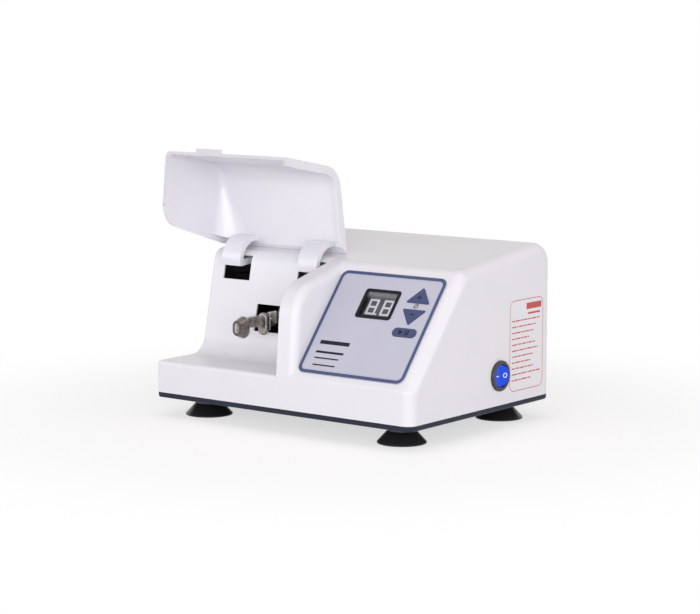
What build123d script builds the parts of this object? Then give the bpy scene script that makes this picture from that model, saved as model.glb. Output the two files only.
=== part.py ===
from build123d import *
from math import atan2, cos, degrees, hypot, radians, sin, tan
import os

# Capsule mixer for a dental surgery: a white moulded casing with an open bay under a hinged lid
# on the left and a sloping control panel on the right. A motor inside shakes a two-jawed fork
# that reaches into the bay. Millimetres, +Z up, the front faces -Y, the feet stand on Z = 0.
os.makedirs("parts", exist_ok=True)

# ---- casing ----
case_width = 240.0
case_depth = 180.0
case_wall = 2.6
front_height = 24.5  # height of the casing's front face, which is also the tray's level
ridge_y = 64.7  # where the sloping panel meets the top
ridge_z = 103.6
top_slope = 7.1  # the top rises to the back, in degrees
ridge_radius = 10.0
back_radius = 16.0
crease_radius = 3.0
right_edge_radius = 8.0
left_edge_radius = 2.4
boss_inset = 6.0
boss_radius = 4.0
boss_height = 20.0

# ---- work bay ----
bay_width = 118.2
bay_foot_y = 51.0  # where the bay's back wall would meet the tray
bay_lean = 11.7  # how far the back wall leans back, in degrees
slot_reach = 25.0  # the wall's slots are cut from the bay's foot this far back
cove_radius = 16.0
brow_radius = 10.0
cheek_width = 16.0  # the hollow cheek between the bay and the panel
cheek_corner_y = 5.4
cheek_corner_z = 88.0
cheek_corner_radius = 28.0
cheek_edge_radius = 6.5

# ---- base ----
base_thickness = 4.2
base_edge_radius = 2.0
foot_height = 13.8
foot_inset = 28.0
foot_neck_radius = 9.75
foot_rim_radius = 18.0
foot_rim_width = 1.4
foot_rim_thickness = 0.8
foot_cup_depth = 4.0
foot_shoulder_out = 0.6
foot_shoulder_share = 0.66
foot_screw_bite = 6.0
case_screw_bite = 8.0
mount_screw_bite = 6.0
screw_radius = 1.5
screw_clearance = 0.2
screw_head_radius = 2.8
screw_head_height = 1.8

# ---- lid and hinge ----
hinge_y = 78.9
hinge_z = 97.5
lid_open_angle = 96.0
lid_gap = 0.8  # running gap between the lid and the casing
lid_thickness = 2.3
lid_rim_depth = 6.4
lid_side_gap = 0.3  # between the casing's left side and the lid's left wall, which hangs outside it
lid_right_gap = 1.8  # from the lid to the cheek
lid_corner_radius = 20.0
lid_edge_radius = 5.0
lid_blend_radius = 4.5  # inside, round the front and the roof's front end
lid_blend_end_radius = 24.0  # inside, where the same blend has grown towards the hinge
lid_blend_bite = 0.3
lid_foot_radius = 18.0
lid_lap = 3.4  # how far the left wall reaches back past the bay's wall
lid_reach = 1.8  # how far the roof reaches back past the bay's brow
tab_left = 28.0
tab_width = 21.6
tab_depth = 3.0
tab_height = 4.8
arm_inner_radius = 14.0
arm_thickness = 4.0
arm_width = 18.6
arm_left_x = 13.3
arm_right_inset = 29.3  # from the bay's right side to the right arm's left face
arm_start_angle = 168.0
arm_end_angle = 290.0
arm_web_angle = 284.0
arm_web_thickness = 4.6
eye_radius = 4.6
hinge_rod_radius = 2.5
hinge_rod_left = 8.6
hinge_rod_inset = 5.6  # from the bay's right side to the rod's end
rod_chamfer = 0.4
running_gap = 0.06
hinge_slot_gap = 0.8
hinge_slot_width = 26.6
hinge_slot_bottom = 82.3
hinge_slot_top = 101.0
bracket_ear = 2.8
bracket_gap = 1.0
bracket_plate = 2.5
bracket_back_y = 100.0
lid_switch_x = 19.0
lid_switch_y = 99.0
lid_switch_z = 75.0
lid_switch_width = 6.4
lid_switch_length = 20.0
lid_switch_height = 8.0
lever_thickness = 0.6
lever_lift = 1.9
lever_pin_radius = 0.6
lever_ear = 1.0
lever_pivot_back = 4.0
lever_ear_width = 3.0
lever_side_gap = 0.2
lever_reach = 18.6

# ---- control panel ----
overlay_inset = 1.0  # from the cheek to the overlay
overlay_up = 5.1  # distance up the slope from the casing's front edge
overlay_width = 95.6
overlay_length = 89.2
overlay_corner = 6.0
overlay_thickness = 1.2
column_gap = 6.7  # between the display and the column of keys
display_s = 62.6
display_width = 32.1
display_length = 25.1
display_sink = 2.4  # from the panel's face down to the digits
display_round = 2.4
window_width = 26.7
window_length = 20.2
window_thickness = 1.0
window_round = 0.8
bezel_proud = 0.3
skirt_wall = 0.8
digit_width = 8.3
digit_length = 13.2
digit_pitch = 13.0
digit_stroke = 1.5
digit_gap = 0.12
digit_thickness = 0.4
digit_left = 0.6  # the digits sit a little left of and below the display's middle
digit_low = 0.5
point_radius = 0.7
point_gap = 0.5
key_side = 17.4  # from the overlay's right edge to the middle of the keys
up_key_s = 73.3
down_key_s = 54.5
arrow_key_width = 21.2
arrow_key_length = 13.4
start_key_s = 41.5
start_key_width = 21.0
start_key_length = 7.4
key_lift = 0.6  # space under a key's plate at rest
key_proud = 0.35
key_gap = 0.15
arrow_key_round = 0.8
key_travel = 0.4
stem_radius = 2.0
stem_gap = 0.4
board_drop = 12.0  # from the outer panel face to the board's face
board_thickness = 1.6
board_width = 84.0
board_length = 66.0
board_side = 6.4  # from the overlay's right edge to the board
board_up = 17.1
standoff_radius = 3.0
tact_size = 6.2
tact_height = 3.4
tact_button_height = 1.2
tact_button_radius = 1.7
tact_gap = 0.1  # left over a button when its key is fully pressed
board_edge = 4.0
board_screw_bite = 5.0

# ---- power side ----
switch_y = 111.0
switch_z = 22.2
switch_hole_radius = 10.0
bezel_radius = 11.5
bezel_thickness = 2.0
bezel_edge_radius = 0.8
switch_barrel_gap = 0.15
switch_depth = 14.0
rocker_radius = 8.0
rocker_gap = 0.8
rocker_sink = 1.2  # the pressed half lies this far under the bezel's face
rocker_swing = 16.0
trunnion_radius = 1.0
trunnion_reach = 9.4
rocker_pivot_depth = 0.5
rocker_depth = 5.0
blade_pitch = 6.0
blade_width = 4.8
blade_thickness = 0.8
blade_length = 7.0
inlet_side = 44.0  # from the casing's right side to the inlet's middle
inlet_z = 34.0
inlet_flange_width = 50.0
inlet_flange_height = 24.0
inlet_flange_thickness = 2.2
inlet_body_width = 27.0
inlet_body_height = 19.6
inlet_body_depth = 22.0
inlet_socket_width = 24.6
inlet_socket_height = 16.6
inlet_socket_depth = 17.0
inlet_screw_pitch = 40.0
inlet_screw_length = 12.0
inlet_pin_pitch = 7.0
inlet_pin_width = 2.0
inlet_pin_height = 4.0
inlet_pin_inset = 2.5
inlet_tail = 8.0
inlet_pin_shift = 1.0
earth_drop = 4.0
inlet_flange_round = 3.0
inlet_key_chamfer = 4.0
nut_radius = 2.9
nut_height = 2.4
soft_gap = 0.3
vent_count = 9
vent_width = 3.0
vent_height = 34.0
vent_pitch = 8.0
vent_x = 78.0
vent_z = 86.0

# ---- drive ----
drive_y = 90.0
drive_z = 53.0
motor_left = 94.0
motor_length = 56.0
motor_radius = 25.0
motor_wall = 2.0
end_cap_thickness = 4.0
bearing_radius = 8.0
shaft_radius = 4.0
rotor_radius = 17.0
rotor_length = 34.0
fan_radius = 21.0
fan_thickness = 9.0
fan_blades = 8
hub_inset = 52.2  # from the bay's right side to the hub and the jaws
hub_tilt = 5.0
hub_radius = 6.0
hub_length = 13.0
hub_collar_radius = 8.0
hub_collar_length = 4.0
hub_nut_radius = 6.5
stator_length = 42.0
air_gap = 0.7
cap_screw_reach = 15.0
fan_gap = 2.8
fan_hub_radius = 8.0
blade_wall = 1.2
blade_root = 0.5  # how far a blade runs into the hub
ball_radius = 10.5
ring_gap = 0.35
ring_width = 8.0
ring_radius = 14.0
weight_radius = 17.0
weight_thickness = 8.0
bracket_thickness = 2.5
bracket_round = 8.0
bracket_hole_gap = 1.0
mount_radius = 6.0
mount_height = 12.0
mount_pitch = 32.0

# ---- shaker fork ----
clamp_radius = 19.0
clamp_width = 11.0
tail_root = 1.0  # how far the tail runs into the clamp ring
bar_offset = 6.5  # from the jaws' axis to the bar's near face
bar_width = 3.6
bar_height = 8.0
bar_tip_height = 6.4
bar_front = 30.0
bar_taper_end = 43.0
bar_rise = 1.2  # the bar runs a little above the jaws' axis
front_jaw_y = 24.0  # the widest section of the front jaw's cup
front_jaw_height = 16.8
front_jaw_width = 10.4
nose_reach = 7.4
nose_height = 11.4
nose_width = 7.6
rim_reach = 2.2
rim_height = 15.4
rim_width = 9.4
cup_wall = 1.1
nose_bore_height = 7.6
nose_bore_width = 3.8
ear_wall = 1.2
ear_reach = 13.0  # from the cup's widest section to the ear's end
ear_screw_back = 10.5
rear_jaw_y = 48.0
rear_jaw_thickness = 4.0
rear_jaw_height = 17.2
rear_jaw_width = 8.8
jaw_bore_radius = 2.2
jaw_cup_depth = 1.6
jaw_travel = 3.0
jaw_slot_gap = 0.25
stem_length = 3.4  # the rear jaw's stem through the bar's slot, along the bar
stem_height = 4.0
stem_head = 1.2
clip_thickness = 0.8
clip_height = 12.0
tail_length = 8.0
fork_slot_inset = 68.2  # from the bay's right side to the slot's left end
fork_slot_width = 32.0
fork_slot_bottom = 45.0
fork_slot_top = 65.6
jaw_z = 52.7
jaw_edge_radius = 1.4
jaw_seat_radius = 3.6
tail_spring_radius = 3.6
tail_spring_wire = 0.9
lug_depth = 5.0
clip_root_y = 70.0
clip_bend_y = 60.0
clip_turn_reach = 5.5  # from the bar to the leaf spring's turn, and on to its end
clip_end_reach = 10.5
clip_bend_radius = 2.0

# ---- mains parts on the base ----
power_board_left = 34.0
power_board_front = 124.0
power_board_width = 84.0
power_board_gap = 14.0  # behind the power board, to the casing's back face
power_board_height = 8.0
power_screw_rise = 2.0  # from the base to the end of a board screw
capacitor_x = 20.0
capacitor_radius = 8.0
capacitor_height = 24.0
relay_x = 42.0
relay_width = 16.0
relay_depth = 20.0
relay_height = 15.0
sink_x = 62.0
sink_width = 6.0
sink_inset = 16.0  # the heat sink is shorter than the board by this
sink_height = 9.0
core_side = 24.0  # from the core to the casing's right side
core_front = 106.0
core_width = 42.0
core_thickness = 24.0
core_height = 36.0
core_leg = 11.0
core_window_width = 9.0
core_window_height = 21.0
coil_depth = 38.0
coil_round = 2.0

# ---- places worked out from the sizes above ----
rocker_rise = rocker_radius * tan(radians(rocker_swing))
rocker_face = bezel_thickness - rocker_sink
switch_proud = rocker_face + rocker_rise
panel_angle = degrees(atan2(ridge_z - front_height, ridge_y))
panel_left = bay_width + cheek_width
side_from_panel = case_width - panel_left
overlay_left = panel_left + overlay_inset
key_x = overlay_width - key_side
display_x = key_x - (arrow_key_width + display_width) / 2 - column_gap
arm_right_x = bay_width - arm_right_inset
hub_x = bay_width - hub_inset
jaw_x = hub_x
bar_right = jaw_x - bar_offset
bar_left = bar_right - bar_width
fork_slot_left = bay_width - fork_slot_inset
hinge_rod_length = bay_width - hinge_rod_inset - hinge_rod_left
inlet_x = case_width - inlet_side
core_left = case_width - core_side - core_width
power_board_depth = case_depth - power_board_front - power_board_gap
lid_left = -lid_side_gap - lid_thickness
full_width = case_width + switch_proud - lid_left
full_depth = case_depth + inlet_flange_thickness + screw_head_height
CORNER = Vector(-full_width / 2 - lid_left, -full_depth / 2, foot_height + base_thickness)


def top_z(y):
    """Height of the top face over the casing's lower edge."""
    return ridge_z + (y - ridge_y) * tan(radians(top_slope))


def bay_wall_y(z):
    """Face of the bay's leaning back wall."""
    return bay_foot_y + (z - front_height) * tan(radians(bay_lean))


def panel_z(y):
    """Height of the sloping panel's face."""
    return front_height + y * tan(radians(panel_angle))


def spot(x, y, z):
    """A point from its distances to the left side, the front face and the casing's lower edge."""
    return CORNER + Vector(x, y, z)


def side_plane(x):
    """A plane across the casing: local x runs to the back, local y runs up, its normal is +X."""
    return Plane(origin=spot(x, 0, 0), x_dir=(0, 1, 0), z_dir=(1, 0, 0))


def level_plane(z):
    return Plane(origin=spot(0, 0, z), x_dir=(1, 0, 0), z_dir=(0, 0, 1))


def front_plane(y):
    """A plane facing the user: local x runs right, local y runs up, its normal is -Y."""
    return Plane(origin=spot(0, y, 0), x_dir=(1, 0, 0), z_dir=(0, -1, 0))


def panel_plane(lift):
    """A plane on the sloping panel, its origin at the overlay's lower left corner."""
    up_y = cos(radians(panel_angle))
    up_z = sin(radians(panel_angle))
    foot = spot(overlay_left, overlay_up * up_y, front_height + overlay_up * up_z)
    outward = Vector(0, -up_z, up_y)
    return Plane(origin=foot + outward * lift, x_dir=(1, 0, 0), z_dir=outward)


def lid_plane(x):
    """A side plane that is turned with the open lid, so the lid is drawn as if it were closed."""
    turn_y = cos(radians(lid_open_angle))
    turn_z = sin(radians(lid_open_angle))
    origin_y = hinge_y - hinge_y * turn_y - hinge_z * turn_z
    origin_z = hinge_z + hinge_y * turn_z - hinge_z * turn_y
    return Plane(origin=spot(x, origin_y, origin_z), x_dir=(0, turn_y, -turn_z), z_dir=(1, 0, 0))


def write(built, label):
    """Names a finished piece and writes it as its own file."""
    built.part.label = label
    export_step(built.part, f"parts/{label}.step")


back_z = top_z(case_depth)
top_turn = tan(radians(bay_lean)) * tan(radians(top_slope))
brow_z = (top_z(bay_wall_y(0))) / (1 - top_turn)
brow_y = bay_wall_y(brow_z)


def outline(kind, foot):
    """Side profile of one slice of the casing, from the front round over the top to the back."""
    if kind == "panel":
        upper = [(ridge_y, ridge_z)]
        rounds = [((ridge_y, ridge_z), ridge_radius)]
    elif kind == "cheek":
        upper = [(cheek_corner_y, cheek_corner_z), (brow_y, brow_z)]
        rounds = [((cheek_corner_y, cheek_corner_z), cheek_corner_radius)]
    else:
        upper = [(bay_foot_y, front_height), (brow_y, brow_z)]
        rounds = [((bay_foot_y, front_height), cove_radius), ((brow_y, brow_z), brow_radius)]
    points = [(0, foot), (0, front_height), *upper, (case_depth, back_z), (case_depth, foot)]
    rounds = rounds + [((case_depth, back_z), back_radius)]
    if kind != "cheek":
        rounds = rounds + [((0, front_height), crease_radius)]
    return points, rounds


def slice_sketch(kind, foot, inset):
    """A filled side profile with its corners rounded, drawn in by the inset."""
    points, rounds = outline(kind, foot)
    with BuildSketch(mode=Mode.PRIVATE) as profile:
        with BuildLine():
            Polyline(*points, close=True)
        make_face()
        for (y, z), radius in rounds:
            nearest = profile.vertices().sort_by_distance(Vector(y, z, 0))[0]
            fillet(nearest, radius=radius)
        if inset:
            offset(amount=-inset, kind=Kind.INTERSECTION)
    return profile.sketch


boss_spots = [
    (x, y)
    for x in (boss_inset, case_width - boss_inset)
    for y in (boss_inset, case_depth - boss_inset)
]
foot_spots = [
    (x, y)
    for x in (foot_inset, case_width - foot_inset)
    for y in (foot_inset, case_depth - foot_inset)
]
motor_right = motor_left + motor_length
mount_spots = [
    (x, y)
    for x in (motor_left + mount_radius, motor_right - mount_radius)
    for y in (drive_y - mount_pitch / 2, drive_y + mount_pitch / 2)
]
inlet_screw_spots = [
    (inlet_x - inlet_screw_pitch / 2, inlet_z),
    (inlet_x + inlet_screw_pitch / 2, inlet_z),
]


def cheek_slice(foot, inset):
    """The cheek's slice. It stands proud of the panel, so its right edge is rounded."""
    with BuildPart(mode=Mode.PRIVATE) as cheek:
        with BuildSketch(side_plane(bay_width + inset)):
            add(slice_sketch("cheek", foot, inset))
        extrude(amount=cheek_width - 2 * inset)
        fillet(
            [
                edge
                for edge in cheek.faces().sort_by(Axis.X)[-1].edges()
                if (edge @ 0.5 - CORNER).Y < brow_y and (edge @ 0.5 - CORNER).Z > front_height
            ],
            radius=cheek_edge_radius - inset,
        )
    return cheek


# The hollow inside the casing, open at the bottom, one wall in from the outer faces.
cavity_foot = -2 * case_wall
with BuildPart() as cavity:
    with BuildSketch(side_plane(case_wall)):
        add(slice_sketch("bay", cavity_foot, case_wall))
    extrude(amount=bay_width)
    add(cheek_slice(cavity_foot, case_wall).part)
    with BuildSketch(side_plane(bay_width + case_wall)):
        add(slice_sketch("panel", cavity_foot, case_wall))
    extrude(amount=case_width - bay_width - 2 * case_wall)
    right_loop = cavity.faces().sort_by(Axis.X)[-1].edges().sort_by(Axis.Z)[1:]
    fillet(right_loop, radius=right_edge_radius - case_wall)

skirt_width = window_width + 2 * skirt_wall
skirt_length = window_length + 2 * skirt_wall
with BuildPart() as housing:
    with BuildSketch(side_plane(0)):
        add(slice_sketch("bay", 0, 0))
    extrude(amount=bay_width)
    add(cheek_slice(0, 0).part)
    # The panel's slice runs in under the cheek's rounding, so the two meet in a soft valley.
    with BuildSketch(side_plane(panel_left - cheek_edge_radius)):
        add(slice_sketch("panel", 0, 0))
    extrude(amount=side_from_panel + cheek_edge_radius)
    right_loop = housing.faces().sort_by(Axis.X)[-1].edges().sort_by(Axis.Z)[1:]
    fillet(right_loop, radius=right_edge_radius)
    left_loop = housing.faces().sort_by(Axis.X)[0].edges().sort_by(Axis.Z)[1:]
    fillet(left_loop, radius=left_edge_radius)
    add(cavity.part, mode=Mode.SUBTRACT)
    # Screw bosses, one in each lower corner, run into the walls.
    with BuildSketch(level_plane(0)):
        with Locations(*boss_spots):
            Circle(boss_radius)
    extrude(amount=boss_height)
    with BuildSketch(level_plane(0)):
        with Locations(*boss_spots):
            Circle(screw_radius)
    extrude(amount=boss_height - case_wall, mode=Mode.SUBTRACT)
    # Shelf on the left wall that carries the lid switch.
    with BuildSketch(level_plane(lid_switch_z)):
        with Locations((case_wall / 2, lid_switch_y)):
            Rectangle(
                lid_switch_x - case_wall / 2, lid_switch_length, align=(Align.MIN, Align.CENTER)
            )
    extrude(amount=lid_switch_height)
    # The fork's slot and the two hinge slots through the bay's back wall.
    with BuildSketch(front_plane(bay_foot_y)):
        with Locations((fork_slot_left, fork_slot_bottom)):
            Rectangle(
                fork_slot_width, fork_slot_top - fork_slot_bottom, align=(Align.MIN, Align.MIN)
            )
        with Locations(
            (arm_left_x - hinge_slot_gap, hinge_slot_bottom),
            (arm_right_x - bracket_ear, hinge_slot_bottom),
        ):
            Rectangle(
                hinge_slot_width,
                hinge_slot_top - hinge_slot_bottom,
                align=(Align.MIN, Align.MIN),
            )
    extrude(amount=-slot_reach, mode=Mode.SUBTRACT)
    # Openings in the sloping panel: the display and the three key stems.
    with BuildSketch(panel_plane(0)):
        with Locations((display_x, display_s)):
            Rectangle(skirt_width + 2 * soft_gap, skirt_length + 2 * soft_gap)
        with Locations((key_x, up_key_s), (key_x, down_key_s), (key_x, start_key_s)):
            Circle(stem_radius + stem_gap)
    extrude(amount=-2 * case_wall, mode=Mode.SUBTRACT)
    # Round hole for the power switch in the right wall.
    with BuildSketch(side_plane(case_width)):
        with Locations((switch_y, switch_z)):
            Circle(switch_hole_radius)
    extrude(amount=-2 * case_wall, mode=Mode.SUBTRACT)
    # Back wall: the mains inlet and the cooling slots.
    with BuildSketch(front_plane(case_depth)):
        with Locations((inlet_x, inlet_z)):
            Rectangle(inlet_body_width + 2 * soft_gap, inlet_body_height + 2 * soft_gap)
        with Locations(*inlet_screw_spots):
            Circle(screw_radius + screw_clearance)
        with Locations((vent_x, vent_z)):
            with GridLocations(vent_pitch, vent_pitch, vent_count, 1):
                SlotOverall(vent_height, vent_width, rotation=90)
    extrude(amount=2 * case_wall, both=True, mode=Mode.SUBTRACT)
write(housing, "housing")

# ---- base plate, feet and their screws ----
with BuildPart() as base_plate:
    with BuildSketch(level_plane(-base_thickness)):
        with Locations((case_width / 2, case_depth / 2)):
            Rectangle(case_width, case_depth)
    extrude(amount=base_thickness)
    fillet(base_plate.edges().filter_by(Axis.Z).group_by(Axis.X)[-1], radius=right_edge_radius)
    fillet(base_plate.edges().filter_by(Axis.Z).group_by(Axis.X)[0], radius=left_edge_radius)
    fillet(base_plate.faces().sort_by(Axis.Z)[0].edges(), radius=base_edge_radius)
    with BuildSketch(level_plane(-base_thickness)):
        with Locations(*foot_spots, *boss_spots, *mount_spots):
            Circle(screw_radius + screw_clearance)
    extrude(amount=base_thickness, mode=Mode.SUBTRACT)
    with BuildSketch(level_plane(-base_thickness)):
        with Locations(*boss_spots, *mount_spots):
            Circle(screw_head_radius + screw_clearance)
    extrude(amount=screw_head_height, mode=Mode.SUBTRACT)
write(base_plate, "base_plate")


def screw_group(plane, spots, length):
    """Pan-head screws standing on a plane: the heads rise along its normal, the shanks go back."""
    with BuildPart() as group:
        with BuildSketch(plane):
            with Locations(*spots):
                Circle(screw_head_radius)
        extrude(amount=screw_head_height)
        with BuildSketch(plane):
            with Locations(*spots):
                Circle(screw_radius)
        extrude(amount=-length)
    return group


def flipped(plane):
    """The same plane seen from behind, with its local x kept."""
    return Plane(origin=plane.origin, x_dir=plane.x_dir, z_dir=-plane.z_dir)


foot_screw_length = base_thickness + foot_screw_bite
with BuildPart() as foot:
    with BuildSketch(Plane.XZ):
        with BuildLine():
            bore = screw_radius + screw_clearance
            bore_end = foot_height + base_thickness - foot_screw_length - screw_clearance
            Polyline(
                (bore, foot_height),
                (foot_neck_radius, foot_height),
                (foot_neck_radius + foot_shoulder_out, foot_height * foot_shoulder_share),
                (foot_rim_radius, foot_rim_thickness),
                (foot_rim_radius, 0),
                (foot_rim_radius - foot_rim_width, 0),
                (foot_neck_radius / 2, foot_cup_depth),
                (0, foot_cup_depth),
                (0, bore_end),
                (bore, bore_end),
                close=True,
            )
        make_face()
    revolve(axis=Axis.Z)
with BuildPart() as suction_feet:
    for x, y in foot_spots:
        with Locations(spot(x, y, -base_thickness - foot_height)):
            add(foot.part)
write(suction_feet, "suction_feet")

foot_screws = screw_group(level_plane(0), foot_spots, foot_screw_length)
write(foot_screws, "foot_screws")
recess = flipped(level_plane(-base_thickness + screw_head_height))
below = [(x, -y) for x, y in boss_spots]
case_screws = screw_group(recess, below, base_thickness + case_screw_bite)
write(case_screws, "case_screws")
below_mounts = [(x, -y) for x, y in mount_spots]
mount_screws = screw_group(recess, below_mounts, base_thickness + mount_screw_bite)
write(mount_screws, "mount_screws")

# ---- lid ----
lid_width = bay_width - lid_right_gap - lid_left
lid_foot = front_height + lid_gap
lid_slope = (brow_z - cheek_corner_z) / (brow_y - cheek_corner_y)
lid_end_y = brow_y + lid_reach
lid_end_z = brow_z + lid_reach * lid_slope
lid_lap_z = front_height + (lid_end_y - lid_lap - bay_foot_y) / tan(radians(bay_lean))


def lid_inner_z(y):
    """Height of the inner face of the closed lid's top."""
    return brow_z - (brow_y - y) * lid_slope - lid_thickness * hypot(1, lid_slope)


def lid_outline():
    """Outline of the closed lid's side wall, which stands over the tray and follows the bay."""
    foot_back = bay_wall_y(lid_foot) + lid_lap
    with BuildSketch(mode=Mode.PRIVATE) as profile:
        with BuildLine():
            Polyline(
                (lid_gap / 2, lid_foot),
                (cheek_corner_y, cheek_corner_z),
                (lid_end_y, lid_end_z),
                (lid_end_y, lid_lap_z),
                (foot_back, lid_foot),
                close=True,
            )
        make_face()
        corners = profile.vertices()
        rear = corners.sort_by_distance(Vector(foot_back, lid_foot, 0))[0]
        fillet(rear, radius=lid_foot_radius)
        corners = profile.vertices()
        brow = corners.sort_by_distance(Vector(cheek_corner_y, cheek_corner_z, 0))[0]
        fillet(brow, radius=lid_corner_radius)
    return profile.sketch


def lid_hollow(depth):
    """What is left open behind a front and top band of the given depth."""
    with BuildSketch(mode=Mode.PRIVATE) as hollow:
        add(lid_outline())
        offset(amount=-depth, kind=Kind.INTERSECTION)
        inner = hollow.sketch
        front_lean = (cheek_corner_y - lid_gap / 2) / (cheek_corner_z - lid_foot)
        with Locations((2 * depth, 0), (-2 * depth * front_lean, -2 * depth)):
            add(inner)
        with Locations((lid_gap / 2 + 2 * depth, lid_foot - lid_gap)):
            Rectangle(brow_y, 2 * depth, align=(Align.MIN, Align.MIN))
    return hollow.sketch


def roof_edges(part, plane):
    """The edges round a lid block's left face that follow the front and the roof."""
    rise = (lid_end_z - lid_foot) / lid_end_y
    chosen = []
    for edge in part.faces().sort_by(Axis.X)[0].edges():
        middle = plane.to_local_coords(edge @ 0.5)
        if middle.Y > lid_foot + (middle.X + lid_thickness) * rise:
            chosen.append(edge)
    return chosen


def blend_section(y, radius):
    """What fills the corner between the closed lid's roof and left wall, across the roof at y."""
    wall = lid_plane(lid_left + lid_thickness)
    corner = wall.from_local_coords(Vector(y, lid_inner_z(y), 0))
    across = Plane(origin=corner, x_dir=wall.z_dir, z_dir=wall.x_dir + wall.y_dir * lid_slope)
    with BuildSketch(across) as section:
        with BuildLine():
            Polyline(
                (radius, 0),
                (radius, -lid_blend_bite),
                (-lid_blend_bite, -lid_blend_bite),
                (-lid_blend_bite, radius),
                (0, radius),
            )
            RadiusArc((0, radius), (radius, 0), -radius)
        make_face()
    return section.sketch


with BuildPart() as lid_room:
    with BuildSketch(lid_plane(lid_left + lid_thickness)):
        add(lid_hollow(lid_thickness))
    extrude(amount=lid_width - 2 * lid_thickness)
    fillet(roof_edges(lid_room, lid_plane(0)), radius=lid_blend_radius)

# The blend between the roof and the left wall widens towards the hinge.
with BuildPart() as lid_blend:
    blend_ends = [
        blend_section(cheek_corner_y + lid_corner_radius, lid_blend_radius),
        blend_section(lid_end_y - lid_lap, lid_blend_end_radius),
    ]
    loft(sections=blend_ends)
    with BuildSketch(lid_plane(lid_left)):
        add(lid_outline())
    extrude(amount=lid_width, mode=Mode.INTERSECT)

with BuildPart() as lid:
    with BuildSketch(lid_plane(lid_left)):
        add(lid_outline())
    extrude(amount=lid_width)
    fillet(roof_edges(lid, lid_plane(0)), radius=lid_edge_radius)
    add(lid_room.part, mode=Mode.SUBTRACT)
    with BuildSketch(lid_plane(lid_left + lid_width - lid_thickness)):
        add(lid_hollow(lid_rim_depth))
    extrude(amount=2 * lid_thickness, mode=Mode.SUBTRACT)
    add(lid_blend.part)
    # The lid clears the casing all round when it is shut; only its left wall hangs outside.
    with BuildSketch(lid_plane(-lid_side_gap)):
        add(slice_sketch("bay", 0, -lid_gap))
    extrude(amount=bay_width, mode=Mode.SUBTRACT)
    # Finger tab on the lower front edge.
    with BuildSketch(lid_plane(tab_left)):
        with Locations((lid_gap / 2 - tab_depth, lid_foot)):
            Rectangle(tab_depth + lid_thickness, tab_height, align=(Align.MIN, Align.MIN))
    extrude(amount=tab_width)
write(lid, "lid")


def hinge_arm(left):
    """A curled arm from the lid's inner face round the wall's brow to the hinge rod."""
    with BuildPart() as arm:
        centre = (hinge_y, hinge_z)
        outer_radius = arm_inner_radius + arm_thickness
        sweep_angle = arm_end_angle - arm_start_angle
        with BuildSketch(lid_plane(left)):
            with BuildLine():
                outer = CenterArc(centre, outer_radius, arm_start_angle, sweep_angle)
                inner = CenterArc(centre, arm_inner_radius, arm_start_angle, sweep_angle)
                Line(outer @ 0, inner @ 0)
                Line(outer @ 1, inner @ 1)
            make_face()
            web_length = arm_inner_radius + arm_thickness / 2
            with Locations(centre):
                Circle(eye_radius)
                Rectangle(
                    web_length,
                    arm_web_thickness,
                    rotation=arm_web_angle,
                    align=(Align.MIN, Align.CENTER),
                )
        extrude(amount=arm_width)
        # The arm ends on the roof's inner face.
        arm_front = brow_y - 2 * arm_inner_radius
        with BuildSketch(lid_plane(left)):
            with BuildLine():
                Polyline(
                    (arm_front, lid_inner_z(arm_front)),
                    (lid_end_y, lid_inner_z(lid_end_y)),
                    (lid_end_y, lid_inner_z(lid_end_y) + arm_inner_radius),
                    (arm_front, lid_inner_z(arm_front) + 2 * arm_inner_radius),
                    close=True,
                )
            make_face()
        extrude(amount=arm_width, mode=Mode.SUBTRACT)
        with BuildSketch(lid_plane(left)):
            with Locations(centre):
                Circle(hinge_rod_radius + running_gap)
        extrude(amount=arm_width, mode=Mode.SUBTRACT)
        add(lid.part, mode=Mode.SUBTRACT)
    return arm


write(hinge_arm(arm_left_x), "hinge_arm_left")
write(hinge_arm(arm_right_x), "hinge_arm_right")

with BuildPart() as hinge_rod:
    with BuildSketch(side_plane(hinge_rod_left)):
        with Locations((hinge_y, hinge_z)):
            Circle(hinge_rod_radius)
    extrude(amount=hinge_rod_length)
    chamfer(hinge_rod.edges().filter_by(GeomType.CIRCLE), length=rod_chamfer)
write(hinge_rod, "hinge_rod")


def ceiling_z(y):
    """Height of the underside of the casing's top."""
    return top_z(y) - case_wall / cos(radians(top_slope))


with BuildPart() as hinge_brackets:
    for arm_x in (arm_left_x, arm_right_x):
        ear_front = hinge_y - eye_radius + bracket_gap
        plate_front = hinge_y + eye_radius + 2 * bracket_gap
        left_ear = arm_x - bracket_gap - bracket_ear
        right_ear = arm_x + arm_width + bracket_gap
        for ear_x in (left_ear, right_ear):
            with BuildSketch(side_plane(ear_x)):
                with BuildLine():
                    Polyline(
                        (ear_front, hinge_z - eye_radius + bracket_gap),
                        (ear_front, hinge_z + hinge_rod_radius),
                        (hinge_y + bracket_gap, ceiling_z(hinge_y + bracket_gap)),
                        (bracket_back_y, ceiling_z(bracket_back_y)),
                        (bracket_back_y, ceiling_z(bracket_back_y) - 2 * bracket_plate),
                        (hinge_y + eye_radius, hinge_z - eye_radius + bracket_gap),
                        close=True,
                    )
                make_face()
                with Locations((hinge_y, hinge_z)):
                    Circle(hinge_rod_radius + running_gap, mode=Mode.SUBTRACT)
            extrude(amount=bracket_ear)
        with BuildSketch(side_plane(left_ear)):
            with BuildLine():
                Polyline(
                    (plate_front, ceiling_z(plate_front)),
                    (bracket_back_y, ceiling_z(bracket_back_y)),
                    (bracket_back_y, ceiling_z(bracket_back_y) - bracket_plate),
                    (plate_front, ceiling_z(plate_front) - bracket_plate),
                    close=True,
                )
            make_face()
        extrude(amount=right_ear - left_ear)
write(hinge_brackets, "hinge_brackets")

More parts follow.
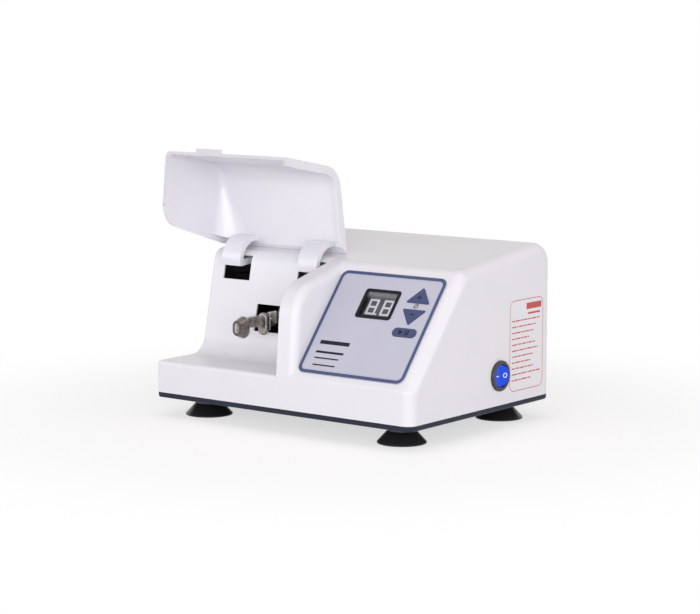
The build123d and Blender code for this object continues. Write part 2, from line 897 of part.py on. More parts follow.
# ---- lid switch: a small snap switch that the closing arm comes up to ----
switch_back = lid_switch_y + lid_switch_length / 2
lever_pivot_y = switch_back - lever_pivot_back
lever_pivot_z = lid_switch_z + lid_switch_height + lever_lift
with BuildPart() as lid_switch:
    with BuildSketch(level_plane(lid_switch_z)):
        with Locations((lid_switch_x + lid_switch_width / 2, lid_switch_y)):
            Rectangle(lid_switch_width, lid_switch_length)
    extrude(amount=lid_switch_height)
    with BuildSketch(level_plane(lid_switch_z + lid_switch_height)):
        for ear_x in (lid_switch_x, lid_switch_x + lid_switch_width - lever_ear):
            with Locations((ear_x, lever_pivot_y - lever_ear_width / 2)):
                Rectangle(lever_ear, lever_ear_width, align=(Align.MIN, Align.MIN))
    extrude(amount=lever_lift + lever_ear_width / 2)
    with BuildSketch(side_plane(lid_switch_x)):
        with Locations((lever_pivot_y, lever_pivot_z)):
            Circle(lever_pin_radius + running_gap)
    extrude(amount=lid_switch_width, mode=Mode.SUBTRACT)
write(lid_switch, "lid_switch")

with BuildPart() as lid_switch_lever:
    lever_left = lid_switch_x + lever_ear + lever_side_gap
    lever_width = lid_switch_width - 2 * (lever_ear + lever_side_gap)
    with BuildSketch(side_plane(lever_left)):
        with Locations((lever_pivot_y, lever_pivot_z)):
            Rectangle(lever_reach, lever_thickness, align=(Align.MAX, Align.CENTER))
            Circle(2 * lever_pin_radius)
    extrude(amount=lever_width)
    with BuildSketch(side_plane(lid_switch_x)):
        with Locations((lever_pivot_y, lever_pivot_z)):
            Circle(lever_pin_radius)
    extrude(amount=lid_switch_width)
write(lid_switch_lever, "lid_switch_lever")

# ---- control panel ----
def key_sketch(kind, grow):
    """Outline of one membrane key on the panel, grown by a gap where it is cut out."""
    with BuildSketch(mode=Mode.PRIVATE) as key:
        if kind == "start":
            with Locations((key_x, start_key_s)):
                SlotOverall(start_key_width, start_key_length)
        else:
            middle = up_key_s if kind == "up" else down_key_s
            point = arrow_key_length / 2 if kind == "up" else -arrow_key_length / 2
            with BuildLine():
                Polyline(
                    (key_x, middle + point),
                    (key_x - arrow_key_width / 2, middle - point),
                    (key_x + arrow_key_width / 2, middle - point),
                    close=True,
                )
            make_face()
            fillet(key.vertices(), radius=arrow_key_round)
        if grow:
            offset(amount=grow, kind=Kind.ARC)
    return key.sketch


key_spots = {"up": up_key_s, "down": down_key_s, "start": start_key_s}
with BuildPart() as panel_overlay:
    with BuildSketch(panel_plane(0)):
        with Locations((overlay_width / 2, overlay_length / 2)):
            RectangleRounded(overlay_width, overlay_length, overlay_corner)
        with Locations((display_x, display_s)):
            RectangleRounded(display_width, display_length, display_round, mode=Mode.SUBTRACT)
        for kind in key_spots:
            add(key_sketch(kind, key_gap), mode=Mode.SUBTRACT)
    extrude(amount=overlay_thickness)
write(panel_overlay, "panel_overlay")

# The bezel's skirt lines the opening in the casing down to the display module.
with BuildPart() as display_bezel:
    with BuildSketch(panel_plane(0)):
        with Locations((display_x, display_s)):
            RectangleRounded(display_width, display_length, display_round)
            RectangleRounded(window_width, window_length, window_round, mode=Mode.SUBTRACT)
    extrude(amount=overlay_thickness + bezel_proud)
    with BuildSketch(panel_plane(0)):
        with Locations((display_x, display_s)):
            Rectangle(skirt_width, skirt_length)
            RectangleRounded(window_width, window_length, window_round, mode=Mode.SUBTRACT)
    extrude(amount=-case_wall)
write(display_bezel, "display_bezel")

with BuildPart() as display_window:
    with BuildSketch(panel_plane(0)):
        with Locations((display_x, display_s)):
            RectangleRounded(window_width, window_length, window_round)
    extrude(amount=window_thickness)
write(display_window, "display_window")

board_tail = board_drop + board_thickness
with BuildPart() as display_module:
    with BuildSketch(panel_plane(-board_drop)):
        with Locations((display_x, display_s)):
            Rectangle(window_width - 2 * soft_gap, window_length - 2 * soft_gap)
    extrude(amount=board_drop - display_sink - digit_thickness)
write(display_module, "display_module")

# Two seven-bar digits, each with its point.
with BuildPart() as display_segments:
    with BuildSketch(panel_plane(-display_sink - digit_thickness)):
        across = digit_width - 2 * digit_stroke - 2 * digit_gap
        middle_s = display_s - digit_low
        for digit in (-0.5, 0.5):
            middle_x = display_x - digit_left + digit * digit_pitch
            for level in (-1, 0, 1):
                level_s = middle_s + level * (digit_length - digit_stroke) / 2
                with Locations((middle_x, level_s)):
                    Rectangle(across, digit_stroke)
            for side in (-1, 1):
                side_x = middle_x + side * (digit_width - digit_stroke) / 2
                for half in (-1, 1):
                    with Locations((side_x, middle_s + half * digit_length / 4)):
                        Rectangle(digit_stroke, digit_length / 2 - digit_gap)
            point_x = middle_x + digit_width / 2 + point_gap + point_radius
            with Locations((point_x, middle_s - digit_length / 2 + point_radius)):
                Circle(point_radius)
    extrude(amount=digit_thickness)
write(display_segments, "display_segments")

for kind, key_s in key_spots.items():
    with BuildPart() as key:
        with BuildSketch(panel_plane(key_lift)):
            add(key_sketch(kind, 0))
        extrude(amount=overlay_thickness + key_proud - key_lift)
        with BuildSketch(panel_plane(key_lift)):
            with Locations((key_x, key_s)):
                Circle(stem_radius)
        stem_reach = key_lift + board_drop - tact_height - tact_button_height
        extrude(amount=-(stem_reach - key_travel - tact_gap))
    write(key, f"{kind}_key")

with BuildPart() as tact_switches:
    for key_s in key_spots.values():
        with BuildSketch(panel_plane(-board_drop)):
            with Locations((key_x, key_s)):
                Rectangle(tact_size, tact_size)
        extrude(amount=tact_height)
        with BuildSketch(panel_plane(-board_drop + tact_height)):
            with Locations((key_x, key_s)):
                Circle(tact_button_radius)
        extrude(amount=tact_button_height)
write(tact_switches, "tact_switches")

board_left = overlay_width - board_side - board_width
board_spots = [
    (board_left + x, board_up + s)
    for x in (board_edge, board_width - board_edge)
    for s in (board_edge, board_length - board_edge)
]
with BuildPart() as control_board:
    with BuildSketch(panel_plane(-board_drop)):
        with Locations((board_left, board_up)):
            Rectangle(board_width, board_length, align=(Align.MIN, Align.MIN))
        with Locations(*board_spots):
            Circle(screw_radius + screw_clearance, mode=Mode.SUBTRACT)
    extrude(amount=-board_thickness)
write(control_board, "control_board")

with BuildPart() as board_standoffs:
    with BuildSketch(panel_plane(-case_wall)):
        with Locations(*board_spots):
            Circle(standoff_radius)
            Circle(screw_radius + screw_clearance, mode=Mode.SUBTRACT)
    extrude(amount=-(board_drop - case_wall))
write(board_standoffs, "board_standoffs")

behind_board = flipped(panel_plane(-board_tail))
behind_spots = [(x, -s) for x, s in board_spots]
board_screws = screw_group(behind_board, behind_spots, board_thickness + board_screw_bite)
write(board_screws, "board_screws")

# ---- power switch ----
rocker_x = case_width + rocker_face - rocker_pivot_depth
rocker_reach = hypot(rocker_radius, rocker_rise + rocker_pivot_depth)
with BuildPart() as switch_body:
    with BuildSketch(side_plane(case_width)):
        with Locations((switch_y, switch_z)):
            Circle(bezel_radius)
    extrude(amount=bezel_thickness)
    bezel_edge = switch_body.edges().filter_by(GeomType.CIRCLE).sort_by(Axis.X)[-1]
    fillet(bezel_edge, radius=bezel_edge_radius)
    with BuildSketch(side_plane(case_width)):
        with Locations((switch_y, switch_z)):
            Circle(switch_hole_radius - switch_barrel_gap)
    extrude(amount=-switch_depth)
    with BuildSketch(side_plane(case_width + bezel_thickness)):
        with Locations((switch_y, switch_z)):
            Circle(rocker_radius + rocker_gap)
    extrude(amount=-(bezel_thickness + rocker_reach), mode=Mode.SUBTRACT)
    with BuildSketch(level_plane(switch_z - trunnion_reach - soft_gap)):
        with Locations((rocker_x, switch_y)):
            Circle(trunnion_radius + running_gap)
    extrude(amount=2 * (trunnion_reach + soft_gap), mode=Mode.SUBTRACT)
    for blade in (-1, 0, 1):
        with BuildSketch(side_plane(case_width - switch_depth)):
            with Locations((switch_y + blade * blade_pitch, switch_z)):
                Rectangle(blade_thickness, blade_width)
        extrude(amount=-blade_length)
write(switch_body, "switch_body")

rocker_middle = Plane(origin=spot(rocker_x, switch_y, switch_z), x_dir=(0, 1, 0), z_dir=(1, 0, 0))
with BuildPart() as power_rocker:
    with BuildSketch(rocker_middle.offset(-rocker_depth)):
        Circle(rocker_radius)
    extrude(amount=rocker_depth + rocker_rise + rocker_pivot_depth)
    with Locations(spot(rocker_x, switch_y, switch_z)):
        Sphere(rocker_reach, mode=Mode.INTERSECT)
    face_x = case_width + rocker_face
    with BuildSketch(level_plane(switch_z - rocker_radius)):
        with BuildLine():
            Polyline(
                (face_x, switch_y - rocker_radius),
                (face_x, switch_y),
                (face_x + rocker_rise, switch_y + rocker_radius),
                (face_x + 2 * rocker_radius, switch_y + rocker_radius),
                (face_x + 2 * rocker_radius, switch_y - rocker_radius),
                close=True,
            )
        make_face()
    extrude(amount=2 * rocker_radius, mode=Mode.SUBTRACT)
    with BuildSketch(level_plane(switch_z - trunnion_reach)):
        with Locations((rocker_x, switch_y)):
            Circle(trunnion_radius)
    extrude(amount=2 * trunnion_reach)
write(power_rocker, "power_rocker")

# ---- mains inlet ----
pin_spots = [
    (inlet_x - inlet_pin_pitch, inlet_z - inlet_pin_shift),
    (inlet_x, inlet_z - inlet_pin_shift - earth_drop),
    (inlet_x + inlet_pin_pitch, inlet_z - inlet_pin_shift),
]
with BuildPart() as mains_inlet:
    with BuildSketch(front_plane(case_depth)):
        with Locations((inlet_x, inlet_z)):
            RectangleRounded(inlet_flange_width, inlet_flange_height, inlet_flange_round)
        with Locations(*inlet_screw_spots):
            Circle(screw_radius + screw_clearance, mode=Mode.SUBTRACT)
    extrude(amount=-inlet_flange_thickness)
    with BuildSketch(front_plane(case_depth)):
        with Locations((inlet_x, inlet_z)):
            Rectangle(inlet_body_width, inlet_body_height)
    extrude(amount=inlet_body_depth)
    with BuildSketch(front_plane(case_depth + inlet_flange_thickness)) as mouth:
        with Locations((inlet_x, inlet_z)):
            Rectangle(inlet_socket_width, inlet_socket_height)
        chamfer(mouth.vertices().group_by(Axis.Y)[-1], length=inlet_key_chamfer)
    extrude(amount=inlet_socket_depth, mode=Mode.SUBTRACT)
    with BuildSketch(front_plane(case_depth)):
        with Locations(*pin_spots):
            Rectangle(inlet_pin_width, inlet_pin_height)
    extrude(amount=inlet_body_depth, mode=Mode.SUBTRACT)
write(mains_inlet, "mains_inlet")

with BuildPart() as inlet_pins:
    with BuildSketch(front_plane(case_depth - inlet_pin_inset)):
        with Locations(*pin_spots):
            Rectangle(inlet_pin_width, inlet_pin_height)
    extrude(amount=inlet_body_depth - inlet_pin_inset + inlet_tail)
write(inlet_pins, "inlet_pins")

behind_flange = flipped(front_plane(case_depth + inlet_flange_thickness))
flange_spots = [(x, -z) for x, z in inlet_screw_spots]
inlet_screws = screw_group(behind_flange, flange_spots, inlet_screw_length)
write(inlet_screws, "inlet_screws")

with BuildPart() as inlet_nuts:
    with BuildSketch(front_plane(case_depth - case_wall)):
        with Locations(*inlet_screw_spots):
            RegularPolygon(nut_radius, 6)
            Circle(screw_radius, mode=Mode.SUBTRACT)
    extrude(amount=nut_height)
write(inlet_nuts, "inlet_nuts")

# ---- power board and transformer ----
power_spots = [
    (power_board_left + x, power_board_front + y)
    for x in (board_edge, power_board_width - board_edge)
    for y in (board_edge, power_board_depth - board_edge)
]
with BuildPart() as power_standoffs:
    with BuildSketch(level_plane(0)):
        with Locations(*power_spots):
            Circle(standoff_radius)
            Circle(screw_radius + screw_clearance, mode=Mode.SUBTRACT)
    extrude(amount=power_board_height)
write(power_standoffs, "power_standoffs")

power_top = power_board_height + board_thickness
with BuildPart() as power_board:
    with BuildSketch(level_plane(power_board_height)):
        with Locations((power_board_left, power_board_front)):
            Rectangle(power_board_width, power_board_depth, align=(Align.MIN, Align.MIN))
        with Locations(*power_spots):
            Circle(screw_radius + screw_clearance, mode=Mode.SUBTRACT)
    extrude(amount=board_thickness)
write(power_board, "power_board")
power_screws = screw_group(level_plane(power_top), power_spots, power_top - power_screw_rise)
write(power_screws, "power_screws")

with BuildPart() as board_components:
    middle_y = power_board_front + power_board_depth / 2
    with BuildSketch(level_plane(power_top)):
        with Locations((power_board_left + capacitor_x, middle_y)):
            Circle(capacitor_radius)
    extrude(amount=capacitor_height)
    with BuildSketch(level_plane(power_top)):
        with Locations((power_board_left + relay_x, middle_y)):
            Rectangle(relay_width, relay_depth)
    extrude(amount=relay_height)
    with BuildSketch(level_plane(power_top)):
        with Locations((power_board_left + sink_x, middle_y)):
            Rectangle(sink_width, power_board_depth - sink_inset)
    extrude(amount=sink_height)
write(board_components, "board_components")

with BuildPart() as transformer_core:
    with BuildSketch(front_plane(core_front)):
        with Locations((core_left + core_width / 2, core_height / 2)):
            Rectangle(core_width, core_height)
            for side in (-1, 1):
                window_shift = side * (core_leg + core_window_width) / 2
                with Locations((window_shift, 0)):
                    Rectangle(core_window_width, core_window_height, mode=Mode.SUBTRACT)
    extrude(amount=-core_thickness)
write(transformer_core, "transformer_core")

with BuildPart() as transformer_coil:
    coil_width = core_leg + 2 * core_window_width - 2 * soft_gap
    coil_height = core_window_height - 2 * soft_gap
    coil_front = core_front + core_thickness / 2 - coil_depth / 2
    with BuildSketch(front_plane(coil_front)):
        with Locations((core_left + core_width / 2, core_height / 2)):
            RectangleRounded(coil_width, coil_height, coil_round)
    extrude(amount=-coil_depth)
    with BuildSketch(level_plane(core_height / 2 - coil_height / 2)):
        with Locations((core_left + core_width / 2, core_front + core_thickness / 2)):
            Rectangle(core_leg, core_thickness)
    extrude(amount=coil_height, mode=Mode.SUBTRACT)
write(transformer_coil, "transformer_coil")

# ---- motor ----
drive_spot = (drive_y, drive_z)
cap_screw_spots = [(drive_y + side * cap_screw_reach, drive_z) for side in (-1, 1)]
with BuildPart() as motor_can:
    with BuildSketch(side_plane(motor_left)):
        with Locations(drive_spot):
            Circle(motor_radius)
            Circle(motor_radius - motor_wall, mode=Mode.SUBTRACT)
    extrude(amount=motor_length)
write(motor_can, "motor_can")

with BuildPart() as motor_stator:
    with BuildSketch(side_plane(motor_left + (motor_length - stator_length) / 2)):
        with Locations(drive_spot):
            Circle(motor_radius - motor_wall)
            Circle(rotor_radius + air_gap, mode=Mode.SUBTRACT)
    extrude(amount=stator_length)
write(motor_stator, "motor_stator")

end_cap_lefts = (motor_left - end_cap_thickness, motor_right)
with BuildPart() as motor_end_caps:
    for cap_left in end_cap_lefts:
        with BuildSketch(side_plane(cap_left)):
            with Locations(drive_spot):
                Circle(motor_radius)
                Circle(bearing_radius, mode=Mode.SUBTRACT)
            with Locations(*cap_screw_spots):
                Circle(screw_radius + screw_clearance, mode=Mode.SUBTRACT)
        extrude(amount=end_cap_thickness)
write(motor_end_caps, "motor_end_caps")

with BuildPart() as motor_bearings:
    for cap_left in end_cap_lefts:
        with BuildSketch(side_plane(cap_left)):
            with Locations(drive_spot):
                Circle(bearing_radius)
                Circle(shaft_radius + running_gap, mode=Mode.SUBTRACT)
        extrude(amount=end_cap_thickness)
write(motor_bearings, "motor_bearings")

cradle_left = motor_left - end_cap_thickness - bracket_thickness
cradle_right = motor_right + end_cap_thickness
cradle_front = drive_y - mount_pitch / 2 - mount_radius
cradle_depth = mount_pitch + 2 * mount_radius
with BuildPart() as motor_bracket:
    with BuildSketch(level_plane(mount_height)):
        with Locations((cradle_left, cradle_front)):
            Rectangle(
                cradle_right + bracket_thickness - cradle_left,
                cradle_depth,
                align=(Align.MIN, Align.MIN),
            )
        with Locations(*mount_spots):
            Circle(screw_radius + screw_clearance, mode=Mode.SUBTRACT)
    extrude(amount=bracket_thickness)
    for plate_x in (cradle_left, cradle_right):
        with BuildSketch(side_plane(plate_x)):
            with Locations((cradle_front, mount_height)):
                Rectangle(
                    cradle_depth,
                    drive_z + motor_radius - mount_height,
                    align=(Align.MIN, Align.MIN),
                )
            with Locations(drive_spot):
                Circle(bearing_radius + bracket_hole_gap, mode=Mode.SUBTRACT)
            with Locations(*cap_screw_spots):
                Circle(screw_radius + screw_clearance, mode=Mode.SUBTRACT)
        extrude(amount=bracket_thickness)
    top_corners = motor_bracket.edges().filter_by(Axis.X).group_by(Axis.Z)[-1]
    fillet(top_corners, radius=bracket_round)
write(motor_bracket, "motor_bracket")

cap_screw_length = bracket_thickness + end_cap_thickness - soft_gap
with BuildPart() as motor_screws:
    outer_right = side_plane(cradle_right + bracket_thickness)
    add(screw_group(outer_right, cap_screw_spots, cap_screw_length).part)
    outer_left = flipped(side_plane(cradle_left))
    left_spots = [(y, -z) for y, z in cap_screw_spots]
    add(screw_group(outer_left, left_spots, cap_screw_length).part)
write(motor_screws, "motor_screws")

with BuildPart() as rubber_mounts:
    with BuildSketch(level_plane(0)):
        with Locations(*mount_spots):
            Circle(mount_radius)
            Circle(screw_radius + screw_clearance, mode=Mode.SUBTRACT)
    extrude(amount=mount_height)
write(rubber_mounts, "rubber_mounts")

# ---- rotor: everything that spins with the motor shaft ----
shaft_left = hub_x - hub_length / 2 - nut_height
fan_left = cradle_right + bracket_thickness + fan_gap
with BuildPart() as motor_shaft:
    with BuildSketch(side_plane(shaft_left)):
        with Locations(drive_spot):
            Circle(shaft_radius)
    extrude(amount=fan_left + fan_thickness - shaft_left)
    chamfer(motor_shaft.edges().filter_by(GeomType.CIRCLE), length=rod_chamfer)
write(motor_shaft, "motor_shaft")

with BuildPart() as rotor_core:
    with BuildSketch(side_plane(motor_left + (motor_length - rotor_length) / 2)):
        with Locations(drive_spot):
            Circle(rotor_radius)
            Circle(shaft_radius, mode=Mode.SUBTRACT)
    extrude(amount=rotor_length)
write(rotor_core, "rotor_core")

with BuildPart() as cooling_fan:
    with BuildSketch(side_plane(fan_left)):
        with Locations(drive_spot):
            Circle(fan_hub_radius)
    extrude(amount=fan_thickness)
    with BuildSketch(side_plane(fan_left)):
        with Locations(drive_spot):
            with PolarLocations((fan_radius + fan_hub_radius) / 2 - blade_root, fan_blades):
                Rectangle(fan_radius - fan_hub_radius + 2 * blade_root, blade_wall)
    extrude(amount=fan_thickness)
    with BuildSketch(side_plane(fan_left)):
        with Locations(drive_spot):
            Circle(fan_radius)
    extrude(amount=blade_wall)
    with BuildSketch(side_plane(fan_left)):
        with Locations(drive_spot):
            Circle(shaft_radius)
    extrude(amount=fan_thickness, mode=Mode.SUBTRACT)
write(cooling_fan, "cooling_fan")

# The skew hub: a journal tipped away from the shaft's line, which makes the ring wobble.
hub_spot = spot(hub_x, drive_y, drive_z)
tip = Vector(cos(radians(hub_tilt)), 0, sin(radians(hub_tilt)))
skew_plane = Plane(origin=hub_spot, x_dir=(0, 1, 0), z_dir=tip)
with BuildPart() as skew_hub:
    with BuildSketch(skew_plane.offset(-hub_length / 2)):
        Circle(hub_radius)
    extrude(amount=hub_length)
    with BuildSketch(side_plane(hub_x + hub_length / 2)):
        with Locations(drive_spot):
            Circle(hub_collar_radius)
    extrude(amount=hub_collar_length)
    with BuildSketch(side_plane(hub_x - 2 * hub_length)):
        with Locations(drive_spot):
            Circle(shaft_radius)
    extrude(amount=4 * hub_length, mode=Mode.SUBTRACT)
    with BuildSketch(side_plane(hub_x - hub_length / 2)):
        with Locations(drive_spot):
            Circle(2 * hub_radius)
    extrude(amount=-hub_length, mode=Mode.SUBTRACT)
write(skew_hub, "skew_hub")

with BuildPart() as wobble_ball:
    with Locations(hub_spot):
        Sphere(ball_radius)
    with BuildSketch(skew_plane.offset(-ring_width / 2)):
        Circle(2 * ball_radius)
    extrude(amount=ring_width, mode=Mode.INTERSECT)
    with BuildSketch(skew_plane.offset(-ring_width)):
        Circle(hub_radius)
    extrude(amount=2 * ring_width, mode=Mode.SUBTRACT)
write(wobble_ball, "wobble_ball")

with BuildPart() as hub_nut:
    with BuildSketch(side_plane(hub_x - hub_length / 2)):
        with Locations(drive_spot):
            RegularPolygon(hub_nut_radius, 6)
            Circle(shaft_radius, mode=Mode.SUBTRACT)
    extrude(amount=-nut_height)
write(hub_nut, "hub_nut")

weight_left = hub_x + hub_length / 2 + hub_collar_length
with BuildPart() as balance_weight:
    with BuildSketch(side_plane(weight_left)):
        with Locations(drive_spot):
            Circle(weight_radius)
            with Locations((0, weight_radius)):
                Rectangle(2 * weight_radius, 2 * weight_radius, mode=Mode.SUBTRACT)
            Circle(hub_collar_radius)
            Circle(shaft_radius, mode=Mode.SUBTRACT)
    extrude(amount=weight_thickness)
write(balance_weight, "balance_weight")

# ---- shaker fork: the ring round the ball, and the bar that carries the two jaws ----
ring_side = ring_width / 2
socket_radius = ball_radius + ring_gap
socket_mouth = (socket_radius**2 - ring_side**2) ** 0.5
with BuildPart() as wobble_ring:
    with BuildSketch(Plane(origin=hub_spot, x_dir=(1, 0, 0), z_dir=(0, -1, 0))):
        with BuildLine():
            Polyline(
                (-ring_side, socket_mouth),
                (-ring_side, ring_radius),
                (ring_side, ring_radius),
                (ring_side, socket_mouth),
            )
            mouth_left = (-ring_side, socket_mouth)
            mouth_right = (ring_side, socket_mouth)
            ThreePointArc(mouth_right, (0, socket_radius), mouth_left)
        make_face()
    revolve(axis=Axis(hub_spot, (1, 0, 0)))
write(wobble_ring, "wobble_ring")

bar_z = jaw_z + bar_rise
clamp_front = drive_y - clamp_radius
slot_front = rear_jaw_y - stem_length / 2 - jaw_slot_gap
with BuildPart() as shaker_arm:
    with BuildSketch(side_plane(hub_x - clamp_width / 2)):
        with Locations(drive_spot):
            Circle(clamp_radius)
            Circle(ring_radius, mode=Mode.SUBTRACT)
    extrude(amount=clamp_width)
    with BuildSketch(side_plane(bar_left)):
        with BuildLine():
            Polyline(
                (bar_front, bar_z - bar_tip_height / 2),
                (bar_front, bar_z + bar_tip_height / 2),
                (bar_taper_end, bar_z + bar_height / 2),
                (clamp_front + lug_depth, bar_z + bar_height / 2),
                (clamp_front + lug_depth, bar_z - bar_height / 2),
                (bar_taper_end, bar_z - bar_height / 2),
                close=True,
            )
        make_face()
        with Locations(
            (front_jaw_y + ear_screw_back, bar_z), ((clip_root_y + clip_bend_y) / 2, bar_z)
        ):
            Circle(screw_radius + screw_clearance, mode=Mode.SUBTRACT)
        # The rear jaw's stem slides in this slot, whose ends stop it.
        with Locations((slot_front, bar_z)):
            Rectangle(
                stem_length + jaw_travel + 2 * jaw_slot_gap,
                stem_height + 2 * jaw_slot_gap,
                align=(Align.MIN, Align.CENTER),
                mode=Mode.SUBTRACT,
            )
    extrude(amount=bar_width)
    with BuildSketch(side_plane(bar_left)):
        with Locations((clamp_front, bar_z)):
            Rectangle(lug_depth, bar_height, align=(Align.MIN, Align.CENTER))
    extrude(amount=hub_x - bar_left)
    with BuildSketch(level_plane(drive_z - bar_height / 2)):
        with Locations((hub_x, drive_y + clamp_radius - tail_root)):
            Rectangle(clamp_width, tail_length, align=(Align.CENTER, Align.MIN))
    extrude(amount=bar_height)
write(shaker_arm, "shaker_arm")


def jaw_section(y, width, height):
    """An upright oblong on the jaws' axis, as one section of a jaw."""
    with BuildSketch(front_plane(y)) as section:
        with Locations((jaw_x, jaw_z)):
            SlotOverall(height, width, rotation=90)
    return section.sketch


# The front jaw is a pressed cup that narrows to its nose. Its ear lies on the bar.
nose_y = front_jaw_y - nose_reach
rim_y = front_jaw_y + rim_reach
with BuildPart() as front_jaw:
    for inset in (0, cup_wall):
        mode = Mode.SUBTRACT if inset else Mode.ADD
        shrink = 2 * inset
        nose = jaw_section(nose_y + inset, nose_width - shrink, nose_height - shrink)
        belly = jaw_section(front_jaw_y, front_jaw_width - shrink, front_jaw_height - shrink)
        rim = jaw_section(rim_y, rim_width - shrink, rim_height - shrink)
        loft(sections=[nose, belly], mode=mode)
        loft(sections=[belly, rim], mode=mode)
    nose_bore = jaw_section(nose_y, nose_bore_width, nose_bore_height)
    extrude(nose_bore, amount=-2 * cup_wall, mode=Mode.SUBTRACT)
    with BuildSketch(side_plane(bar_right)):
        with Locations((front_jaw_y - rim_reach, bar_z)):
            Rectangle(ear_reach + rim_reach, bar_tip_height, align=(Align.MIN, Align.CENTER))
        with Locations((front_jaw_y + ear_screw_back, bar_z)):
            Circle(screw_radius, mode=Mode.SUBTRACT)
    extrude(amount=ear_wall)
write(front_jaw, "front_jaw")

# The rear jaw slides on the bar against its leaf spring, to let a capsule in.
rear_front = front_plane(rear_jaw_y - rear_jaw_thickness / 2)
with BuildPart() as rear_jaw:
    with BuildSketch(rear_front):
        with Locations((jaw_x, jaw_z)):
            SlotOverall(rear_jaw_height, rear_jaw_width, rotation=90)
    extrude(amount=-rear_jaw_thickness)
    fillet(rear_jaw.faces().sort_by(Axis.Y)[0].edges(), radius=jaw_edge_radius)
    fillet(rear_jaw.faces().sort_by(Axis.Y)[-1].edges(), radius=jaw_edge_radius)
    with BuildSketch(rear_front):
        with Locations((jaw_x, jaw_z)):
            Circle(jaw_bore_radius)
    extrude(amount=-rear_jaw_thickness, mode=Mode.SUBTRACT)
    rear_axis = Plane(
        origin=spot(jaw_x, rear_jaw_y - rear_jaw_thickness / 2, jaw_z),
        x_dir=(0, 1, 0),
        z_dir=(1, 0, 0),
    )
    with BuildSketch(rear_axis):
        with BuildLine():
            Polyline((0, 0), (0, jaw_seat_radius), (jaw_cup_depth, 0), close=True)
        make_face()
    revolve(axis=Axis(rear_axis.origin, (0, 1, 0)), mode=Mode.SUBTRACT)
    # Its foot lies on the bar, its stem runs through the slot and a head holds it there.
    with BuildSketch(side_plane(bar_right + running_gap)):
        with Locations((rear_jaw_y, bar_z)):
            Rectangle(rear_jaw_thickness, bar_height)
    extrude(amount=bar_offset - rear_jaw_width / 2 + jaw_edge_radius)
    with BuildSketch(side_plane(bar_left - running_gap)):
        with Locations((rear_jaw_y, bar_z)):
            Rectangle(stem_length, stem_height)
    extrude(amount=bar_width + 3 * running_gap)
    with BuildSketch(side_plane(bar_left - running_gap)):
        with Locations((rear_jaw_y, bar_z)):
            Rectangle(rear_jaw_thickness, bar_height)
    extrude(amount=-stem_head)
write(rear_jaw, "rear_jaw")

# Leaf spring: screwed to the bar behind the jaw, bent forward to press on its back.
clip_front = rear_jaw_y + rear_jaw_thickness / 2 + soft_gap
with BuildPart() as jaw_spring:
    with BuildSketch(level_plane(bar_z - clip_height / 2)):
        with BuildLine():
            FilletPolyline(
                (bar_right + clip_thickness / 2, clip_root_y),
                (bar_right + clip_thickness / 2, clip_bend_y),
                (bar_right + clip_turn_reach, clip_front + clip_thickness / 2),
                (bar_right + clip_end_reach, clip_front + clip_thickness / 2),
                radius=clip_bend_radius,
            )
            offset(amount=clip_thickness / 2, side=Side.BOTH)
        make_face()
    extrude(amount=clip_height)
    with BuildSketch(side_plane(bar_right)):
        with Locations(((clip_root_y + clip_bend_y) / 2, bar_z)):
            Circle(screw_radius + screw_clearance)
    extrude(amount=2 * clip_thickness, mode=Mode.SUBTRACT)
write(jaw_spring, "jaw_spring")

with BuildPart() as fork_screws:
    ear_spot = (front_jaw_y + ear_screw_back, -bar_z)
    add(screw_group(flipped(side_plane(bar_left)), [ear_spot], bar_width + ear_wall).part)
    clip_face = side_plane(bar_right + clip_thickness)
    clip_spot = ((clip_root_y + clip_bend_y) / 2, bar_z)
    add(screw_group(clip_face, [clip_spot], clip_thickness + bar_width).part)
write(fork_screws, "fork_screws")

# The tail spring holds the fork back from turning with the shaft.
tail_y = drive_y + clamp_radius - tail_root + tail_length - tail_spring_radius
with BuildPart() as spring_post:
    with BuildSketch(level_plane(0)):
        with Locations((hub_x, tail_y)):
            Circle(tail_spring_radius)
    extrude(amount=mount_height)
write(spring_post, "spring_post")

with BuildPart() as tail_spring:
    with BuildSketch(level_plane(mount_height)):
        with Locations((hub_x, tail_y)):
            Circle(tail_spring_radius)
            Circle(tail_spring_radius - tail_spring_wire, mode=Mode.SUBTRACT)
    extrude(amount=drive_z - bar_height / 2 - mount_height)
write(tail_spring, "tail_spring")
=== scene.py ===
# %% [markdown]
# # A capsule mixer, from the bare solids to the finished picture
# The real object is a bench-top machine that shakes a small capsule between two cups. It has a
# white moulded casing, an open bay under a hinged lid, a sloping panel of soft keys, and four
# rubber suction feet. The solids already have the right size, so this lesson is about what the
# eye reads after size: gloss, grain, print, small symbols, light and the point of view.
# Everything is in metres, and X runs along the front, Y to the back and Z up.

import math

import bmesh
import bpy
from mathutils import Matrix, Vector


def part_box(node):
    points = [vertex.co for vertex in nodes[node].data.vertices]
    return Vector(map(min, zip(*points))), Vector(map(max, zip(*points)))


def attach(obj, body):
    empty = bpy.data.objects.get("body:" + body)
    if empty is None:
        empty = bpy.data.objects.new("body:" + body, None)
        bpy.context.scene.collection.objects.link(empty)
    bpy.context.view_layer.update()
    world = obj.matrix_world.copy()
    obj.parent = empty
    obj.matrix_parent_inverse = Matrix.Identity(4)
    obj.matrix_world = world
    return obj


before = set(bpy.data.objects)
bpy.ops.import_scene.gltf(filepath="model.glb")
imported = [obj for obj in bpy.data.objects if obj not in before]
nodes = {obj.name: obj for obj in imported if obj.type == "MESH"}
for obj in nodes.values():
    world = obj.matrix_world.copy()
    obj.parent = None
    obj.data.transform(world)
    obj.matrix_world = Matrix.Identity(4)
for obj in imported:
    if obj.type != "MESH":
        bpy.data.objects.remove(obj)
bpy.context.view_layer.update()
scene = bpy.context.scene

